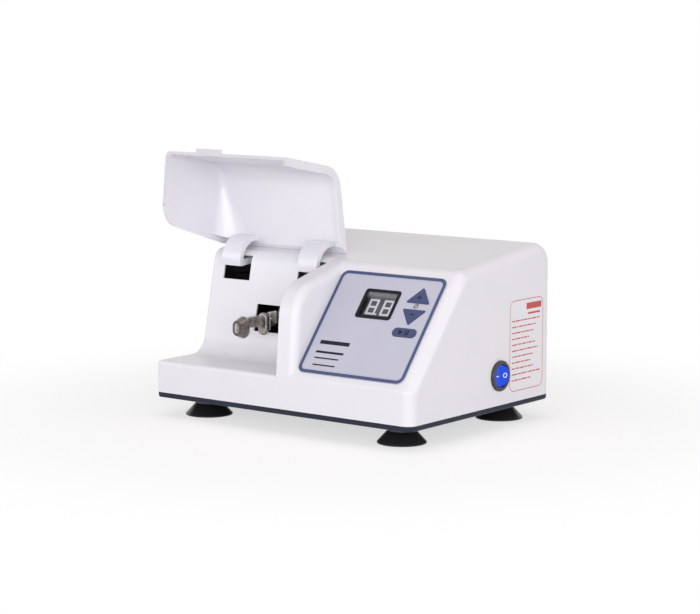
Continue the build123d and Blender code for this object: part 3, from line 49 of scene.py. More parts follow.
# %% [markdown]
# The parts were drawn from the casing's lower front left corner, so the same corner is handy
# here. `casing(x, y, z)` turns a distance in millimetres from that corner into a place in the
# scene. The sloping panel has its own corner, with one direction across and one up the slope,
# because everything that is printed on it is easier to place that way.

# %% The casing's corner and the panel's corner
MM = 0.001
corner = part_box("housing")[0]
casing_width = 240.0
front_height = 24.5
ridge_depth = 64.7
ridge_height = 103.6
panel_slope = math.atan2(ridge_height - front_height, ridge_depth)
panel_across = 135.2
panel_up = 5.1


def casing(x, y, z):
    """A place from its distances to the casing's lower front left corner, in millimetres."""
    return corner + Vector((x, y, z)) * MM


def panel(x, s, lift=0.0):
    """A place on the panel: x across and s up the slope from the overlay's corner, and the lift."""
    up = s + panel_up
    y = up * math.cos(panel_slope) - lift * math.sin(panel_slope)
    z = front_height + up * math.sin(panel_slope) + lift * math.cos(panel_slope)
    return casing(panel_across + x, y, z)


print("panel slope:", round(math.degrees(panel_slope), 1), "degrees")

# %% [markdown]
# The point of view comes first, because it decides what has to be good. The photograph was
# taken from the front right and a little above, with a long lens, so upright edges stay
# upright. A long lens far away could be faked with an orthographic camera, but then the far
# side would look too large, so a real focal length and distance are used.

# %% The camera
eye = casing(1139.4, -1223.8, 291.6)
turn = math.radians(37.9)  # round from the front towards the right
climb = math.radians(7.74)  # up from the level
backward = Vector(
    (math.sin(turn) * math.cos(climb), -math.cos(turn) * math.cos(climb), math.sin(climb))
)
camera_data = bpy.data.cameras.new("camera")
camera_data.sensor_width = 36.0
camera_data.lens = 113.6
camera_data.clip_start = 0.05
camera_data.clip_end = 50.0
camera = bpy.data.objects.new("camera", camera_data)
camera.rotation_mode = "QUATERNION"
camera.rotation_quaternion = (-backward).to_track_quat("-Z", "Y")
camera.location = eye
scene.collection.objects.link(camera)
scene.camera = camera
scene.view_settings.view_transform = "Standard"
print("camera:", [round(v, 3) for v in eye], "lens", camera_data.lens)

# %% [markdown]
# Shaders are small graphs, and a graph is built from two steps: add a box with its values, and
# join one box to another. Both are short helpers here, so that a shader below reads as a list
# of what it is made of. An input's name is written with _ where Blender has a space.

# %% Helpers for shader graphs
def add(tree, kind, **values):
    """A new shader node of a kind, with values for some of its inputs."""
    made = tree.nodes.new("ShaderNode" + kind)
    for name, value in values.items():
        made.inputs[name.replace("_", " ")].default_value = value
    return made


def add_math(tree, operation, kind="Math"):
    """A new node that does one sum."""
    made = add(tree, kind)
    made.operation = operation
    return made


def join(tree, *pairs):
    """Joins each output to its input."""
    for start, end in pairs:
        tree.links.new(start, end)


def seen_only(tree):
    """A factor that is 1 for rays from the camera, or off gloss or through glass, else 0."""
    path = add(tree, "LightPath")
    first = add_math(tree, "MAXIMUM")
    second = add_math(tree, "MAXIMUM")
    join(
        tree,
        (path.outputs["Is Camera Ray"], first.inputs[0]),
        (path.outputs["Is Glossy Ray"], first.inputs[1]),
        (first.outputs[0], second.inputs[0]),
        (path.outputs["Is Transmission Ray"], second.inputs[1]),
    )
    return second.outputs[0]


def choose_white(tree, hidden, shown, output):
    """Shows one shader to the rays that see the backdrop, and another to all the rest."""
    choose = add(tree, "MixShader")
    join(
        tree,
        (seen_only(tree), choose.inputs[0]),
        (hidden.outputs[0], choose.inputs[1]),
        (shown.outputs[0], choose.inputs[2]),
        (choose.outputs[0], output.inputs["Surface"]),
    )


print("helpers:", [made.__name__ for made in (add, add_math, join, seen_only, choose_white)])

# %% [markdown]
# The object stands on a white sheet under soft lights. A white that is made with more light
# would wash out the casing, which is white too. So the sheet glows for the camera, for gloss
# and for glass, and is a plain pale floor for all other light. Near the object the glow is
# weaker and the rest is the sheet's own colour, which keeps the shadow under the feet. Further
# out it goes over into full white, so that no edge of the sheet shows.

# %% The white sheet
fade_start = 0.14
fade_end = 0.42
sheet_look = bpy.data.materials.new("white_sheet")
sheet_look.use_nodes = True
tree = sheet_look.node_tree
tree.nodes.clear()
plain = add(tree, "BsdfDiffuse", Color=(0.80, 0.80, 0.80, 1))
glow = add(tree, "Emission", Strength=0.62)
dim = add(tree, "BsdfDiffuse", Color=(0.46, 0.46, 0.46, 1))
both = add(tree, "AddShader")
white = add(tree, "Emission")
place = add(tree, "TexCoord")
reach = add_math(tree, "LENGTH", "VectorMath")
fade = add(tree, "MapRange", From_Min=fade_start, From_Max=fade_end)
fade.interpolation_type = "SMOOTHSTEP"
spread = add(tree, "MixShader")
join(
    tree,
    (place.outputs["Object"], reach.inputs[0]),
    (reach.outputs["Value"], fade.inputs["Value"]),
    (glow.outputs[0], both.inputs[0]),
    (dim.outputs[0], both.inputs[1]),
    (fade.outputs["Result"], spread.inputs[0]),
    (both.outputs[0], spread.inputs[1]),
    (white.outputs[0], spread.inputs[2]),
)
choose_white(tree, plain, spread, add(tree, "OutputMaterial"))

sheet = bmesh.new()
bmesh.ops.create_grid(sheet, x_segments=8, y_segments=8, size=3.0)
sheet_mesh = bpy.data.meshes.new("floor")
sheet.to_mesh(sheet_mesh)
sheet.free()
floor = bpy.data.objects.new("floor", sheet_mesh)
floor.location.z = -0.0002
floor.data.materials.append(sheet_look)
scene.collection.objects.link(floor)
print("stage:", floor.name, "fades from", fade_start, "to", fade_end, "m")

# %% [markdown]
# The world follows the same rule as the sheet: white where it is seen or mirrored, and a weak
# even room light for everything else. The room light fills the shadows, and it is slightly
# lavender, as the shadows in the photograph are.

# %% The world
room_light = 0.33
world = bpy.data.worlds.new("world")
scene.world = world
world.use_nodes = True
tree = world.node_tree
tree.nodes.clear()
room = add(tree, "Background", Color=(0.985, 0.975, 1.0, 1), Strength=room_light)
white = add(tree, "Background", Color=(1.0, 1.0, 1.0, 1), Strength=1.0)
choose_white(tree, room, white, add(tree, "OutputWorld"))
print("world light:", room_light)

# %% [markdown]
# Four large lamps do the work. The key is a wide soft box low down at the front right, beside
# the camera and a little cool, which makes the front the brightest face. A smaller one at the
# front left fills the bay. The side lamp stands at the right and is a little warm, because the
# right side reads warmer and half a step darker. The lamp above is weak and warm, so that the
# casing's top stays the darkest of its faces. Large lamps close by give soft shadows.

# %% The lamps
def soft_box(name, place, aim, width, height, power, tint):
    """A rectangular lamp that points at a place, with its sizes in metres and power in watts."""
    data = bpy.data.lights.new(name, "AREA")
    data.shape = "RECTANGLE"
    data.size = width
    data.size_y = height
    data.energy = power
    data.color = tint
    lamp = bpy.data.objects.new(name, data)
    lamp.location = place
    lamp.rotation_mode = "QUATERNION"
    lamp.rotation_quaternion = (Vector(aim) - Vector(place)).to_track_quat("-Z", "Y")
    scene.collection.objects.link(lamp)


middle = (0.0, 0.0, 0.09)
soft_box("key_lamp", (1.45, -1.95, 0.42), middle, 2.8, 1.5, 51.0, (0.955, 0.955, 1.0))
soft_box("left_lamp", (-1.35, -1.95, 0.35), middle, 1.8, 1.2, 13.0, (0.955, 0.96, 1.0))
soft_box("side_lamp", (2.2, 0.25, 0.45), middle, 1.6, 1.2, 10.0, (1.0, 0.95, 0.96))
soft_box("top_lamp", (0.0, -0.05, 2.2), middle, 1.8, 1.4, 8.5, (1.0, 0.86, 0.80))

# %% [markdown]
# Almost every finish on the machine is one shader with the same habits: a colour that drifts a
# little from place to place, a gloss that may drift too, a fine grain that catches the light,
# and sometimes a coat. A picture of the surface could be wrapped on instead, but noise in the
# object's own space needs no wrapping and keeps its scale on every part. So one helper builds
# all of them, and each finish is a line of numbers a maker would know: how rough, how fine the
# grain is and how high it stands, both in millimetres.

# %% One helper for every finish
def finish(name, low, high, rough, drift=0.04, grain=1.0, relief=0.004, patch=25.0, metal=0.0):
    """A finish whose colour drifts from low to high; grain, relief and patch in millimetres."""
    look = bpy.data.materials.new(name)
    look.use_nodes = True
    tree = look.node_tree
    shader = tree.nodes["Principled BSDF"]
    shader.inputs["Metallic"].default_value = metal
    shader.inputs["Roughness"].default_value = rough
    space = add(tree, "TexCoord")
    broad = add(tree, "TexNoise", Scale=1 / MM / patch, Detail=3.0)
    fine = add(tree, "TexNoise", Scale=1 / MM / grain, Detail=2.0)
    shade = add(tree, "Mix")
    shade.data_type = "RGBA"
    shade.inputs["A"].default_value = (*low, 1)
    shade.inputs["B"].default_value = (*high, 1)
    bump = add(tree, "Bump", Distance=relief * MM)
    join(
        tree,
        (space.outputs["Object"], broad.inputs["Vector"]),
        (space.outputs["Object"], fine.inputs["Vector"]),
        (broad.outputs["Fac"], shade.inputs["Factor"]),
        (shade.outputs["Result"], shader.inputs["Base Color"]),
        (fine.outputs["Fac"], bump.inputs["Height"]),
        (bump.outputs["Normal"], shader.inputs["Normal"]),
    )
    if drift:
        gloss = add(tree, "MapRange", To_Min=rough - drift, To_Max=rough + drift)
        join(
            tree,
            (broad.outputs["Fac"], gloss.inputs["Value"]),
            (gloss.outputs["Result"], shader.inputs["Roughness"]),
        )
    return look


def tune(look, **values):
    """Sets some plain numbers of a finish."""
    shader = look.node_tree.nodes["Principled BSDF"]
    for name, value in values.items():
        shader.inputs[name.replace("_", " ")].default_value = value


def recolour(look, factor, colour):
    """Mixes another colour into a finish, as much as a factor says."""
    tree = look.node_tree
    base = tree.nodes["Principled BSDF"].inputs["Base Color"]
    tone = base.links[0].from_socket
    paint = add(tree, "Mix")
    paint.data_type = "RGBA"
    paint.inputs["B"].default_value = (*colour, 1)
    join(
        tree,
        (factor, paint.inputs["Factor"]),
        (tone, paint.inputs["A"]),
        (paint.outputs["Result"], base),
    )


def dress(look, *names):
    """Gives a finish to solids that keep their own shape."""
    for name in names:
        mesh = nodes[name].data
        mesh.materials.clear()
        mesh.materials.append(look)
    print(look.name, "on", ", ".join(names))


# %% [markdown]
# The casing is injection-moulded plastic. Its skin is glossy, but not a mirror: the mould leaves
# a very slow ripple that bends the edges of a reflection. The helper's fine grain is stretched
# to several millimetres for that ripple, and a thin clear coat sharpens the highlight. On flat
# faces this large a gloss that drifts would show as spots, so it stays the same everywhere.

# %% White moulded plastic
shell_white = finish(
    "casing", (0.80, 0.79, 0.815), (0.835, 0.825, 0.845), 0.26,
    drift=0.0, grain=6.0, relief=0.003,
)
tune(shell_white, Specular_IOR_Level=0.3, Coat_Weight=0.1, Coat_Roughness=0.12)
dress(shell_white, "housing")

# %% [markdown]
# Some solids have two looks: painted shade inside and bare plastic outside, or a rim painted
# greyer as painted shade. They are masked by place. A limit is a flat cut through space, with a
# direction and how far along it the cut lies, and a mask is 1 where a place lies beyond all its
# limits. The cuts follow the object's own faces, so the mask never slips.

# %% Helpers for masks by place
def limit(direction, x, y, z):
    """A cut across a direction, through a point of the casing in millimetres."""
    return Vector(direction), casing(x, y, z).dot(Vector(direction))


def beyond(tree, space, direction, distance):
    """1 where a place lies further along a direction than a distance, else 0."""
    along = add_math(tree, "DOT_PRODUCT", "VectorMath")
    along.inputs[1].default_value = direction
    further = add_math(tree, "GREATER_THAN")
    further.inputs[1].default_value = distance
    join(
        tree,
        (space.outputs["Object"], along.inputs[0]),
        (along.outputs["Value"], further.inputs[0]),
    )
    return further.outputs[0]


def paint_within(look, limits, colour):
    """Gives a finish another colour beyond all the limits, and returns the mask."""
    tree = look.node_tree
    space = add(tree, "TexCoord")
    mask = None
    for direction, distance in limits:
        side = beyond(tree, space, direction, distance)
        if mask:
            lower = add_math(tree, "MINIMUM")
            join(tree, (mask, lower.inputs[0]), (side, lower.inputs[1]))
            side = lower.outputs[0]
        mask = side
    recolour(look, mask, colour)
    return mask


print("helpers:", [made.__name__ for made in (limit, beyond, paint_within)])

# %% [markdown]
# Inside, the casing is painted near black as painted shade, for the shade that fills it. It
# shows through the slots, where it makes them look deep. The casing is one solid, so the painted
# shade is masked: a place is inside when it lies a little behind the bay's wall, under the roof,
# away from the outer walls and clear of the rounding where wall and roof meet.

# %% Painted shade inside the casing
bay_wall_foot = 51.0
bay_wall_lean = math.tan(math.radians(11.7))
roof_rise = math.tan(math.radians(7.1))
paint_skin = 1.2
paint_back = 163.0
paint_right = 128.0
brow_cut = 6.5
# painted shade: this near black inside the casing stands in for the shade that fills it
inside_shade = (0.018, 0.018, 0.021)
roof_start = ridge_height + roof_rise * (bay_wall_foot - ridge_depth)
brow_z = (roof_start - roof_rise * bay_wall_lean * front_height) / (1 - roof_rise * bay_wall_lean)
brow_y = bay_wall_foot + bay_wall_lean * (brow_z - front_height)
painted = [
    limit((0, 1, -bay_wall_lean), 0, bay_wall_foot + paint_skin, front_height),
    limit((0, roof_rise, -1), 0, ridge_depth, ridge_height - paint_skin),
    limit((1, 0, 0), paint_skin, 0, 0),
    limit((-1, 0, 0), paint_right, 0, 0),
    limit((0, 1 + roof_rise, -1 - bay_wall_lean), 0, brow_y + brow_cut, brow_z),
    limit((0, -1, 0), 0, paint_back, 0),
]
paint_within(shell_white, painted, inside_shade)
print("paint limits:", len(painted))

# %% [markdown]
# The lid is the same plastic as the casing, a touch cooler and glossier, and thin enough that a
# little light goes through it. The narrow face of its rim is painted a little greyer, as painted
# shade. The lid stands open, so its rim faces forwards instead of down.

# %% Lid plastic
lid_opening = math.radians(96.0)
rim_depth = 0.25
# painted shade: the rim's narrow face is painted greyer than the rest of the lid
rim_shade = (0.60, 0.59, 0.61)
lid_white = finish(
    "lid_shell", (0.79, 0.78, 0.825), (0.815, 0.805, 0.845), 0.2,
    drift=0.0, grain=8.0, relief=0.003,
)
tune(
    lid_white, Coat_Weight=0.2, Coat_Roughness=0.08, Subsurface_Weight=0.12, Subsurface_Scale=0.002
)
rim_facing = Vector((0.0, -math.sin(lid_opening), -math.cos(lid_opening)))
rim_place = max(rim_facing.dot(vertex.co) for vertex in nodes["lid"].data.vertices)
paint_within(lid_white, [(rim_facing, rim_place - rim_depth * MM)], rim_shade)
dress(lid_white, "lid", "hinge_arm_left", "hinge_arm_right")
print("lid rim at", round(rim_place, 4))

# %% [markdown]
# The base plate is dark slate-blue plastic with a spark-eroded texture: a fine, even grain that
# kills the shine. The feet are black rubber, which is smoother but never bright, since its
# colour is darker still and only a broad highlight stands on it.

# %% Base and feet
base_slate = finish(
    "base_slate", (0.013, 0.017, 0.034), (0.019, 0.024, 0.044), 0.45, grain=0.35, relief=0.012
)
tune(base_slate, Specular_IOR_Level=0.2)
dress(base_slate, "base_plate")
foot_rubber = finish(
    "foot_rubber", (0.008, 0.008, 0.009), (0.016, 0.015, 0.016), 0.34, grain=0.8, relief=0.01
)
dress(foot_rubber, "suction_feet", "rubber_mounts")

# %% [markdown]
# The keypad is one printed film. Its field is a satin silver with a lavender cast: tiny flakes
# under a clear matt skin. Flakes could be modelled, but at this size they only make a faint
# sparkle, so the grain is fine and a little metal is mixed in. Keys and border are the same
# slate blue, printed from behind, so they share the film's satin skin.

# %% Printed film
film_silver = finish(
    "overlay_film", (0.53, 0.53, 0.62), (0.57, 0.57, 0.655), 0.38, grain=0.25, relief=0.003
)
tune(film_silver, Metallic=0.15, Specular_IOR_Level=0.3)
dress(film_silver, "panel_overlay")
film_blue = finish(
    "key_film", (0.036, 0.049, 0.14), (0.045, 0.06, 0.165), 0.4, grain=0.25, relief=0.003
)
dress(film_blue, "up_key", "down_key", "start_key")
print("key film:", film_blue.name)

# %% [markdown]
# The display is a nearly clear window in a black frame, over a dark module with pale bars. The
# bars are unlit, so they don't glow. Most of what is seen of the window is the reflection on
# its face. Near its upper edge less light passes through it, so its pale colour shows there as
# a painted reflection, a lighter band that stands in for the reflection.

# %% Display
frame_black = finish(
    "display_black", (0.004, 0.004, 0.006), (0.007, 0.007, 0.010), 0.4, grain=0.4, relief=0.003
)
tune(frame_black, Specular_IOR_Level=0.2)
dress(frame_black, "display_bezel")
module_face = finish(
    "module_face", (0.062, 0.058, 0.078), (0.078, 0.074, 0.096), 0.5, grain=0.5, relief=0.004
)
dress(module_face, "display_module")
bar_grey = finish(
    "digit_grey", (0.66, 0.66, 0.68), (0.74, 0.74, 0.76), 0.4, grain=0.5, relief=0.004
)
dress(bar_grey, "display_segments")
window_clear = finish(
    "window_clear", (0.91, 0.91, 0.93), (0.94, 0.94, 0.96), 0.05, drift=0.02, relief=0.001
)
tune(window_clear, Transmission_Weight=1.0, IOR=1.18)
# painted reflection: towards the upper edge less light passes, so the window's pale colour shows
window_reflection_start = panel(0, 67.5).z
window_reflection_end = panel(0, 73.0).z
window_reflection_pass = 0.85  # how much passes where the painted reflection is strongest
tree = window_clear.node_tree
space = add(tree, "TexCoord")
split = add(tree, "SeparateXYZ")
window_reflection = add(
    tree, "MapRange", From_Min=window_reflection_start, From_Max=window_reflection_end, To_Min=1.0, To_Max=window_reflection_pass
)
join(
    tree,
    (space.outputs["Object"], split.inputs[0]),
    (split.outputs["Z"], window_reflection.inputs["Value"]),
    (window_reflection.outputs["Result"], tree.nodes["Principled BSDF"].inputs["Transmission Weight"]),
)
dress(window_clear, "display_window")

# %% [markdown]
# The power switch has a dark grey rim and a bright blue rocker of tinted plastic. The rocker is
# the most colourful thing on the machine, and too strong a reflection would wash its blue out,
# so its gloss is held back. The inlet at the back is black plastic with bright pins.

# %% Switch and inlet
bezel_grey = finish(
    "bezel_grey", (0.022, 0.023, 0.027), (0.032, 0.033, 0.038), 0.36, grain=0.6, relief=0.006
)
dress(bezel_grey, "switch_body")
rocker_blue = finish(
    "rocker_blue", (0.0, 0.05, 0.66), (0.002, 0.075, 0.80), 0.24, drift=0.03, relief=0.002
)
tune(rocker_blue, Specular_IOR_Level=0.3)
dress(rocker_blue, "power_rocker")
plastic_black = finish(
    "part_black", (0.014, 0.014, 0.016), (0.022, 0.022, 0.024), 0.42, grain=0.5, relief=0.008
)
dress(
    plastic_black, "mains_inlet", "lid_switch", "tact_switches", "board_components", "cooling_fan"
)
pin_brass = finish(
    "pin_brass", (0.52, 0.40, 0.20), (0.60, 0.48, 0.26), 0.24, grain=0.4, relief=0.003, metal=1.0
)
dress(pin_brass, "inlet_pins", "board_standoffs", "power_standoffs", "balance_weight")

# %% [markdown]
# The fork is cast, then tumbled, then handled for years. Cast metal has lumps of about a
# millimetre, its hollows stay dark with grease, and its edges are rubbed bright. The bright
# edges come from Pointiness, which knows where a surface turns sharply outward. Painting the
# edges by hand would look the same from one side only.

# %% Cast and polished metal
cast_metal = finish(
    "fork_cast", (0.17, 0.15, 0.135), (0.42, 0.39, 0.365), 0.3, drift=0.1, grain=1.1,
    relief=0.05, patch=4.0, metal=1.0,
)
tree = cast_metal.node_tree
facts = add(tree, "NewGeometry")
edge = add(tree, "MapRange", From_Min=0.52, From_Max=0.62)
join(tree, (facts.outputs["Pointiness"], edge.inputs["Value"]))
recolour(cast_metal, edge.outputs["Result"], (0.50, 0.47, 0.45))
dress(cast_metal, "shaker_arm", "rear_jaw")

# %% [markdown]
# The front jaw is a thin cup on the same casting. Its inside is painted near white as a painted
# reflection of the bright light seen in it, and the narrow face of its nose is painted dark. The
# inside widens from the nose to the belly, so its mask has sloping limits: two at the sides, two
# above and below, and four across the corners, all half a millimetre within the outer skin.

# %% The front jaw's cup
jaw_x = 66.0
jaw_z = 52.7
nose_y = 16.6
belly_y = 24.0
nose_side = 3.25
nose_top = 5.15
nose_corner = 6.5
cup_length = belly_y - nose_y
widen = 1.4 / cup_length
heighten = 2.7 / cup_length
spread_corner = 3.28 / cup_length
nose_skin = 0.3
cup_reflection_start = 0.2
# the narrow face of the nose is painted dark
nose_dark = (0.11, 0.095, 0.085)
# painted reflection: the near-white inside stands in for the bright light seen in the cup
cup_reflection_white = (0.93, 0.93, 0.92)
cup_metal = cast_metal.copy()
cup_metal.name = "cup_metal"
cup_inside = [
    limit((0, -1, 0), 0, belly_y, 0),
    limit((0, 1, 0), 0, nose_y + cup_reflection_start, 0),
]
for sign in (1, -1):
    cup_inside.append(limit((sign, widen, 0), jaw_x - sign * nose_side, nose_y, 0))
    cup_inside.append(limit((0, heighten, sign), 0, nose_y, jaw_z - sign * nose_top))
    for lean in (1, -1):
        corner_x = jaw_x - sign * nose_corner
        cup_inside.append(limit((sign, spread_corner, lean), corner_x, nose_y, jaw_z))
paint_within(cup_metal, [limit((0, -1, 0), 0, nose_y + nose_skin, 0)], nose_dark)
cup_reflection_mask = paint_within(cup_metal, cup_inside, cup_reflection_white)
tree = cup_metal.node_tree
bare = add_math(tree, "SUBTRACT")
bare.inputs[0].default_value = 1.0
join(
    tree,
    (cup_reflection_mask, bare.inputs[1]),
    (bare.outputs[0], tree.nodes["Principled BSDF"].inputs["Metallic"]),
)
dress(cup_metal, "front_jaw")
print("cup limits:", len(cup_inside))

# %% [markdown]
# Inside are the parts that only show through the slots or with the base off: springs and
# screws of bright steel, a painted motor, laminated iron, taped copper and green boards. They
# are real finishes too, because the slots and the vents do show some of them.

# %% Metals and boards inside
spring_steel = finish(
    "spring_steel", (0.58, 0.58, 0.59), (0.68, 0.68, 0.69), 0.18, grain=0.5, relief=0.003, metal=1.0
)
dress(spring_steel, "jaw_spring", "tail_spring", "lid_switch_lever")
ground_steel = finish(
    "rod_steel", (0.50, 0.50, 0.51), (0.60, 0.60, 0.61), 0.22, grain=0.3, relief=0.003, metal=1.0
)
dress(ground_steel, "hinge_rod", "motor_bearings", "motor_shaft", "skew_hub", "wobble_ball")
dress(ground_steel, "wobble_ring")
zinc_steel = finish(
    "screw_steel", (0.42, 0.42, 0.42), (0.54, 0.54, 0.53), 0.3, grain=0.4, relief=0.006,
    patch=3.0, metal=1.0,
)
dress(
    zinc_steel, "foot_screws", "case_screws", "mount_screws", "hinge_brackets", "board_screws",
    "inlet_screws", "inlet_nuts", "power_screws", "motor_bracket", "motor_screws", "hub_nut",
    "fork_screws", "spring_post",
)
motor_paint = finish(
    "motor_paint", (0.04, 0.042, 0.046), (0.055, 0.057, 0.062), 0.4, grain=0.7, relief=0.01
)
dress(motor_paint, "motor_can")
cap_alloy = finish(
    "motor_alloy", (0.45, 0.46, 0.47), (0.55, 0.56, 0.57), 0.42, grain=0.6, relief=0.02, metal=1.0
)
dress(cap_alloy, "motor_end_caps")
core_iron = finish(
    "core_iron", (0.10, 0.10, 0.11), (0.16, 0.16, 0.17), 0.5, grain=0.5, relief=0.03, metal=0.8
)
dress(core_iron, "rotor_core", "transformer_core")
coil_copper = finish(
    "coil_copper", (0.36, 0.14, 0.05), (0.46, 0.20, 0.08), 0.38, grain=0.5, relief=0.03, metal=0.6
)
dress(coil_copper, "motor_stator", "transformer_coil")
board_green = finish(
    "board_green", (0.012, 0.075, 0.032), (0.02, 0.10, 0.045), 0.35, grain=1.2, relief=0.008
)
dress(board_green, "control_board", "power_board")

# %% [markdown]
# The print on the film is ink, a few hundredths of a millimetre thick. It could be painted into
# the film's material, but then its edge would be as soft as the picture is coarse. So each
# printed shape is its own thin piece. A flat curve fills whatever lies between its outlines,
# so a ring is just two loops. The helper draws the loops, makes the sheet, and lays it down
# where the shape belongs.

# %% A helper for printed shapes
def rounded(left, bottom, right, top, radius, steps=8):
    """The corners of a rectangle with rounded corners, in order."""
    points = []
    for cx, cy, start in (
        (right - radius, bottom + radius, -90),
        (right - radius, top - radius, 0),
        (left + radius, top - radius, 90),
        (left + radius, bottom + radius, 180),
    ):
        for step in range(steps + 1):
            angle = math.radians(start + 90 * step / steps)
            points.append((cx + radius * math.cos(angle), cy + radius * math.sin(angle)))
    return points


def circle(x, y, radius, steps=40):
    """A round loop."""
    turns = [2 * math.pi * step / steps for step in range(steps)]
    return [(x + radius * math.cos(t), y + radius * math.sin(t)) for t in turns]


def bar(x0, y0, x1, y1):
    """A plain rectangle."""
    return [(x0, y0), (x1, y0), (x1, y1), (x0, y1)]


def printed(name, loops, look, lay, body="casing", thickness=0.05):
    """A thin printed shape: closed loops in millimetres, laid on the object by a function."""
    drawing = bpy.data.curves.new(name, "CURVE")
    drawing.dimensions = "2D"
    drawing.fill_mode = "BOTH"
    drawing.extrude = thickness / 2
    for loop in loops:
        line = drawing.splines.new("POLY")
        line.points.add(len(loop) - 1)
        for point, (x, y) in zip(line.points, loop):
            point.co = (x, y, 0, 1)
        line.use_cyclic_u = True
    draft = bpy.data.objects.new(name + "_draft", drawing)
    scene.collection.objects.link(draft)
    shapes = bpy.context.evaluated_depsgraph_get()
    mesh = bpy.data.meshes.new_from_object(draft.evaluated_get(shapes))
    bpy.data.objects.remove(draft)
    for vertex in mesh.vertices:
        x, y, z = vertex.co
        vertex.co = lay(x, y, z + thickness / 2)
    mesh.materials.clear()
    mesh.materials.append(look)
    piece = bpy.data.objects.new(name, mesh)
    scene.collection.objects.link(piece)
    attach(piece, body)


film_top = 1.2
key_rise = 0.35
key_top = film_top + key_rise


def on_film(x, s, lift):
    """On the film's face."""
    return panel(x, s, film_top + lift)


def on_key(x, s, lift):
    """On the face of a key, which stands a little proud."""
    return panel(x, s, key_top + lift)


print("film face lies", film_top, "mm over the casing")

# %% [markdown]
# A broad blue line runs round the film, close to its edge, with a hair-thin pale line just
# inside it. The two lines tell the eye where the panel ends, and their even width shows that
# the corners are true arcs, so both are drawn as the space between two rounded rectangles.

# %% The border of the panel
film_width = 95.6
film_length = 89.2
line_blue = finish(
    "border_ink", (0.05, 0.066, 0.155), (0.062, 0.08, 0.18), 0.38, grain=0.3, relief=0.002
)
line_pale = finish(
    "pale_ink", (0.36, 0.43, 0.66), (0.42, 0.49, 0.70), 0.38, grain=0.3, relief=0.002
)


def film_loop(inset, radius):
    """A rounded loop that runs at a distance within the film's edge."""
    return rounded(inset, inset, film_width - inset, film_length - inset, radius)


for name, loops, ink in (
    ("film_border", [film_loop(0.15, 5.9), film_loop(2.75, 3.8)], line_blue),
    ("film_hairline", [film_loop(3.15, 3.5), film_loop(3.5, 3.2)], line_pale),
):
    printed(name, loops, ink, on_film)

# %% [markdown]
# The keys carry plain signs: a plus to add time, a minus to take it off, and a triangle with
# two bars to start and stop. Between the two arrows sits a small ring with a stroke, which
# stands for time. They are dark ink, so on blue they read only from near by, as on the real film.

# %% Signs on the keys
ink_dark = finish(
    "ink_dark", (0.004, 0.005, 0.014), (0.007, 0.008, 0.02), 0.45, grain=0.3, relief=0.002
)
tune(ink_dark, Specular_IOR_Level=0.25)
key_x = 78.0
up_s = 71.5
down_s = 57.0
start_s = 41.5
arm = 1.65  # from the middle of a plus or minus to its end
half = 0.45  # half the width of its stroke
plus = [
    (-arm, -half), (-half, -half), (-half, -arm), (half, -arm), (half, -half), (arm, -half),
    (arm, half), (half, half), (half, arm), (-half, arm), (-half, half), (-arm, half),
]
plus_loop = [(key_x + x, up_s + s) for x, s in plus]
minus_loop = bar(key_x - arm, down_s - half, key_x + arm, down_s + half)
start_x = key_x - 0.3
start_loops = [
    [(start_x - 4.4, start_s - 2.1), (start_x - 0.4, start_s), (start_x - 4.4, start_s + 2.1)],
    bar(start_x + 1.2, start_s - 2.0, start_x + 2.2, start_s + 2.0),
    bar(start_x + 3.3, start_s - 2.0, start_x + 4.3, start_s + 2.0),
]
ring_s = 64.2
ring_loops = [circle(key_x, ring_s, 1.95), circle(key_x, ring_s, 1.45)]
stroke = [(-2.0, -1.35), (-1.6, -1.7), (2.0, 1.35), (1.6, 1.7)]
stroke_loop = [(key_x + x, ring_s + s) for x, s in stroke]
for name, loops, lay, body in (
    ("plus_sign", [plus_loop], on_key, "up_key"),
    ("minus_sign", [minus_loop], on_key, "down_key"),
    ("start_sign", start_loops, on_key, "start_key"),
    ("time_sign", ring_loops, on_film, "casing"),
    ("time_stroke_sign", [stroke_loop], on_film, "casing"),
):
    printed(name, loops, ink_dark, lay, body)

# %% [markdown]
# The lower left of the film is left for whoever owns the machine. Plain ruled lines of
# different lengths keep the layout in balance there without saying anything. They are ink as
# well, and the top one is the heaviest.

# %% Ruled lines on the panel
ruled = [
    bar(9.4, 25.0, 36.2, 28.2),
    bar(9.4, 17.4, 34.6, 19.2),
    bar(10.4, 12.7, 32.4, 13.8),
    bar(11.5, 6.9, 32.0, 8.0),
]
printed("panel_rules", ruled, ink_dark, on_film)
print("ruled lines:", len(ruled))

# %% [markdown]
# On the right side, behind the switch, a thin red frame is printed straight on the casing. Red
# ink on glossy plastic is a little matt, which is all that separates it from a sticker. Inside
# it are two bars and rows of dashes, which read as lines of notes and say nothing.

# %% Red frame on the side
ink_red = finish(
    "ink_red", (0.50, 0.06, 0.055), (0.58, 0.085, 0.075), 0.45, grain=0.4, relief=0.002
)


def on_side(y, z, lift):
    """On the right side of the casing: y from the front and z from its lower edge."""
    return casing(casing_width + lift, y, z)


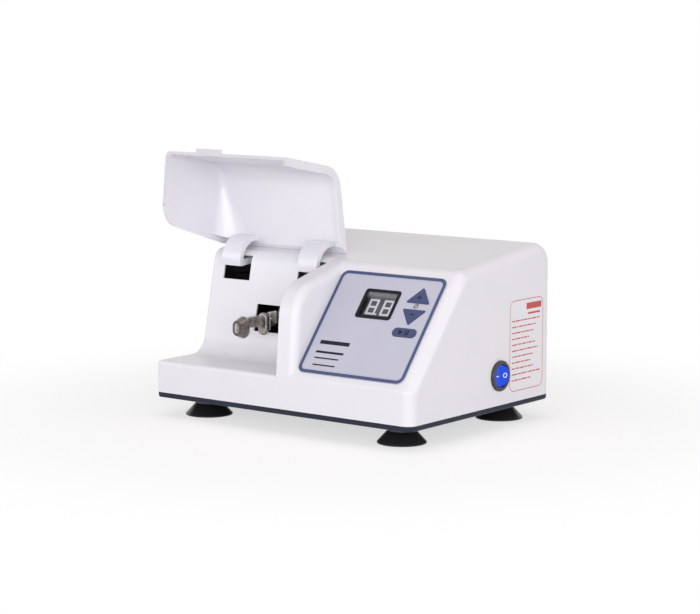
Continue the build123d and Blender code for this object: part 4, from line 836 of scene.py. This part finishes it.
frame_loops = [
    rounded(124.0, 7.7, 168.5, 76.0, 5.8),
    rounded(124.5, 8.2, 168.0, 75.5, 5.3),
]
printed("side_frame", frame_loops, ink_red, on_side)
row_top = 60.0
row_pitch = 4.45
row_start = 127.0
row_ends = [163, 158, 155, 149, 157, 161, 154, 151, 155, 164, 152]
dash_height = 0.95
dash_gap = 0.9
letter_width = 0.8
word_letters = [5, 8, 3, 6, 4, 9, 5, 7, 2, 6]
rules = [bar(146.0, 67.9, 166.0, 72.6), bar(148.0, 64.0, 164.5, 65.4)]
words = 0
for row, row_end in enumerate(row_ends):
    low_edge = row_top - row_pitch * row
    left = row_start
    while left < row_end:
        word = word_letters[words % len(word_letters)] * letter_width
        length = min(word, row_end - left + letter_width)
        rules.append(bar(left, low_edge, left + length, low_edge + dash_height))
        left += length + dash_gap
        words += 1
printed("side_rules", rules, ink_red, on_side)
print("side rules:", len(rules))

# %% [markdown]
# The rocker carries a white ring on one half and a white dash on the other. The two halves lie
# at an angle to each other, so each mark needs its own way of being laid down: the flat half is
# level with the rim, and the other half slopes out from the pivot.

# %% Marks on the rocker
mark_white = finish(
    "mark_white", (0.80, 0.80, 0.80), (0.86, 0.86, 0.86), 0.35, grain=0.4, relief=0.002
)
switch_y = 111.0
switch_z = 22.2
rocker_face = 0.8
rocker_slope = math.tan(math.radians(16.0))


def on_flat_half(y, z, lift):
    """On the half of the rocker that is pressed in, which lies level with the side."""
    return casing(casing_width + rocker_face + lift, switch_y + y, switch_z + z)


def on_proud_half(y, z, lift):
    """On the half that stands out, whose face slopes from the pivot."""
    return casing(casing_width + rocker_face + y * rocker_slope + lift, switch_y + y, switch_z + z)


for name, loops, lay in (
    ("dash_mark", [bar(-5.3, -0.4, -2.4, 0.4)], on_flat_half),
    ("ring_mark", [circle(4.2, 0, 1.9), circle(4.2, 0, 1.25)], on_proud_half),
):
    printed(name, loops, mark_white, lay, "power_rocker")

# %% [markdown]
# Last, the solids are shaded smooth where they curve and sharp where they turn.

# %% Smooth curves and sharp edges
sharp_angle = math.radians(28)
for solid in nodes.values():
    for face in solid.data.polygons:
        face.use_smooth = True
    solid.data.set_sharp_from_angle(angle=sharp_angle)
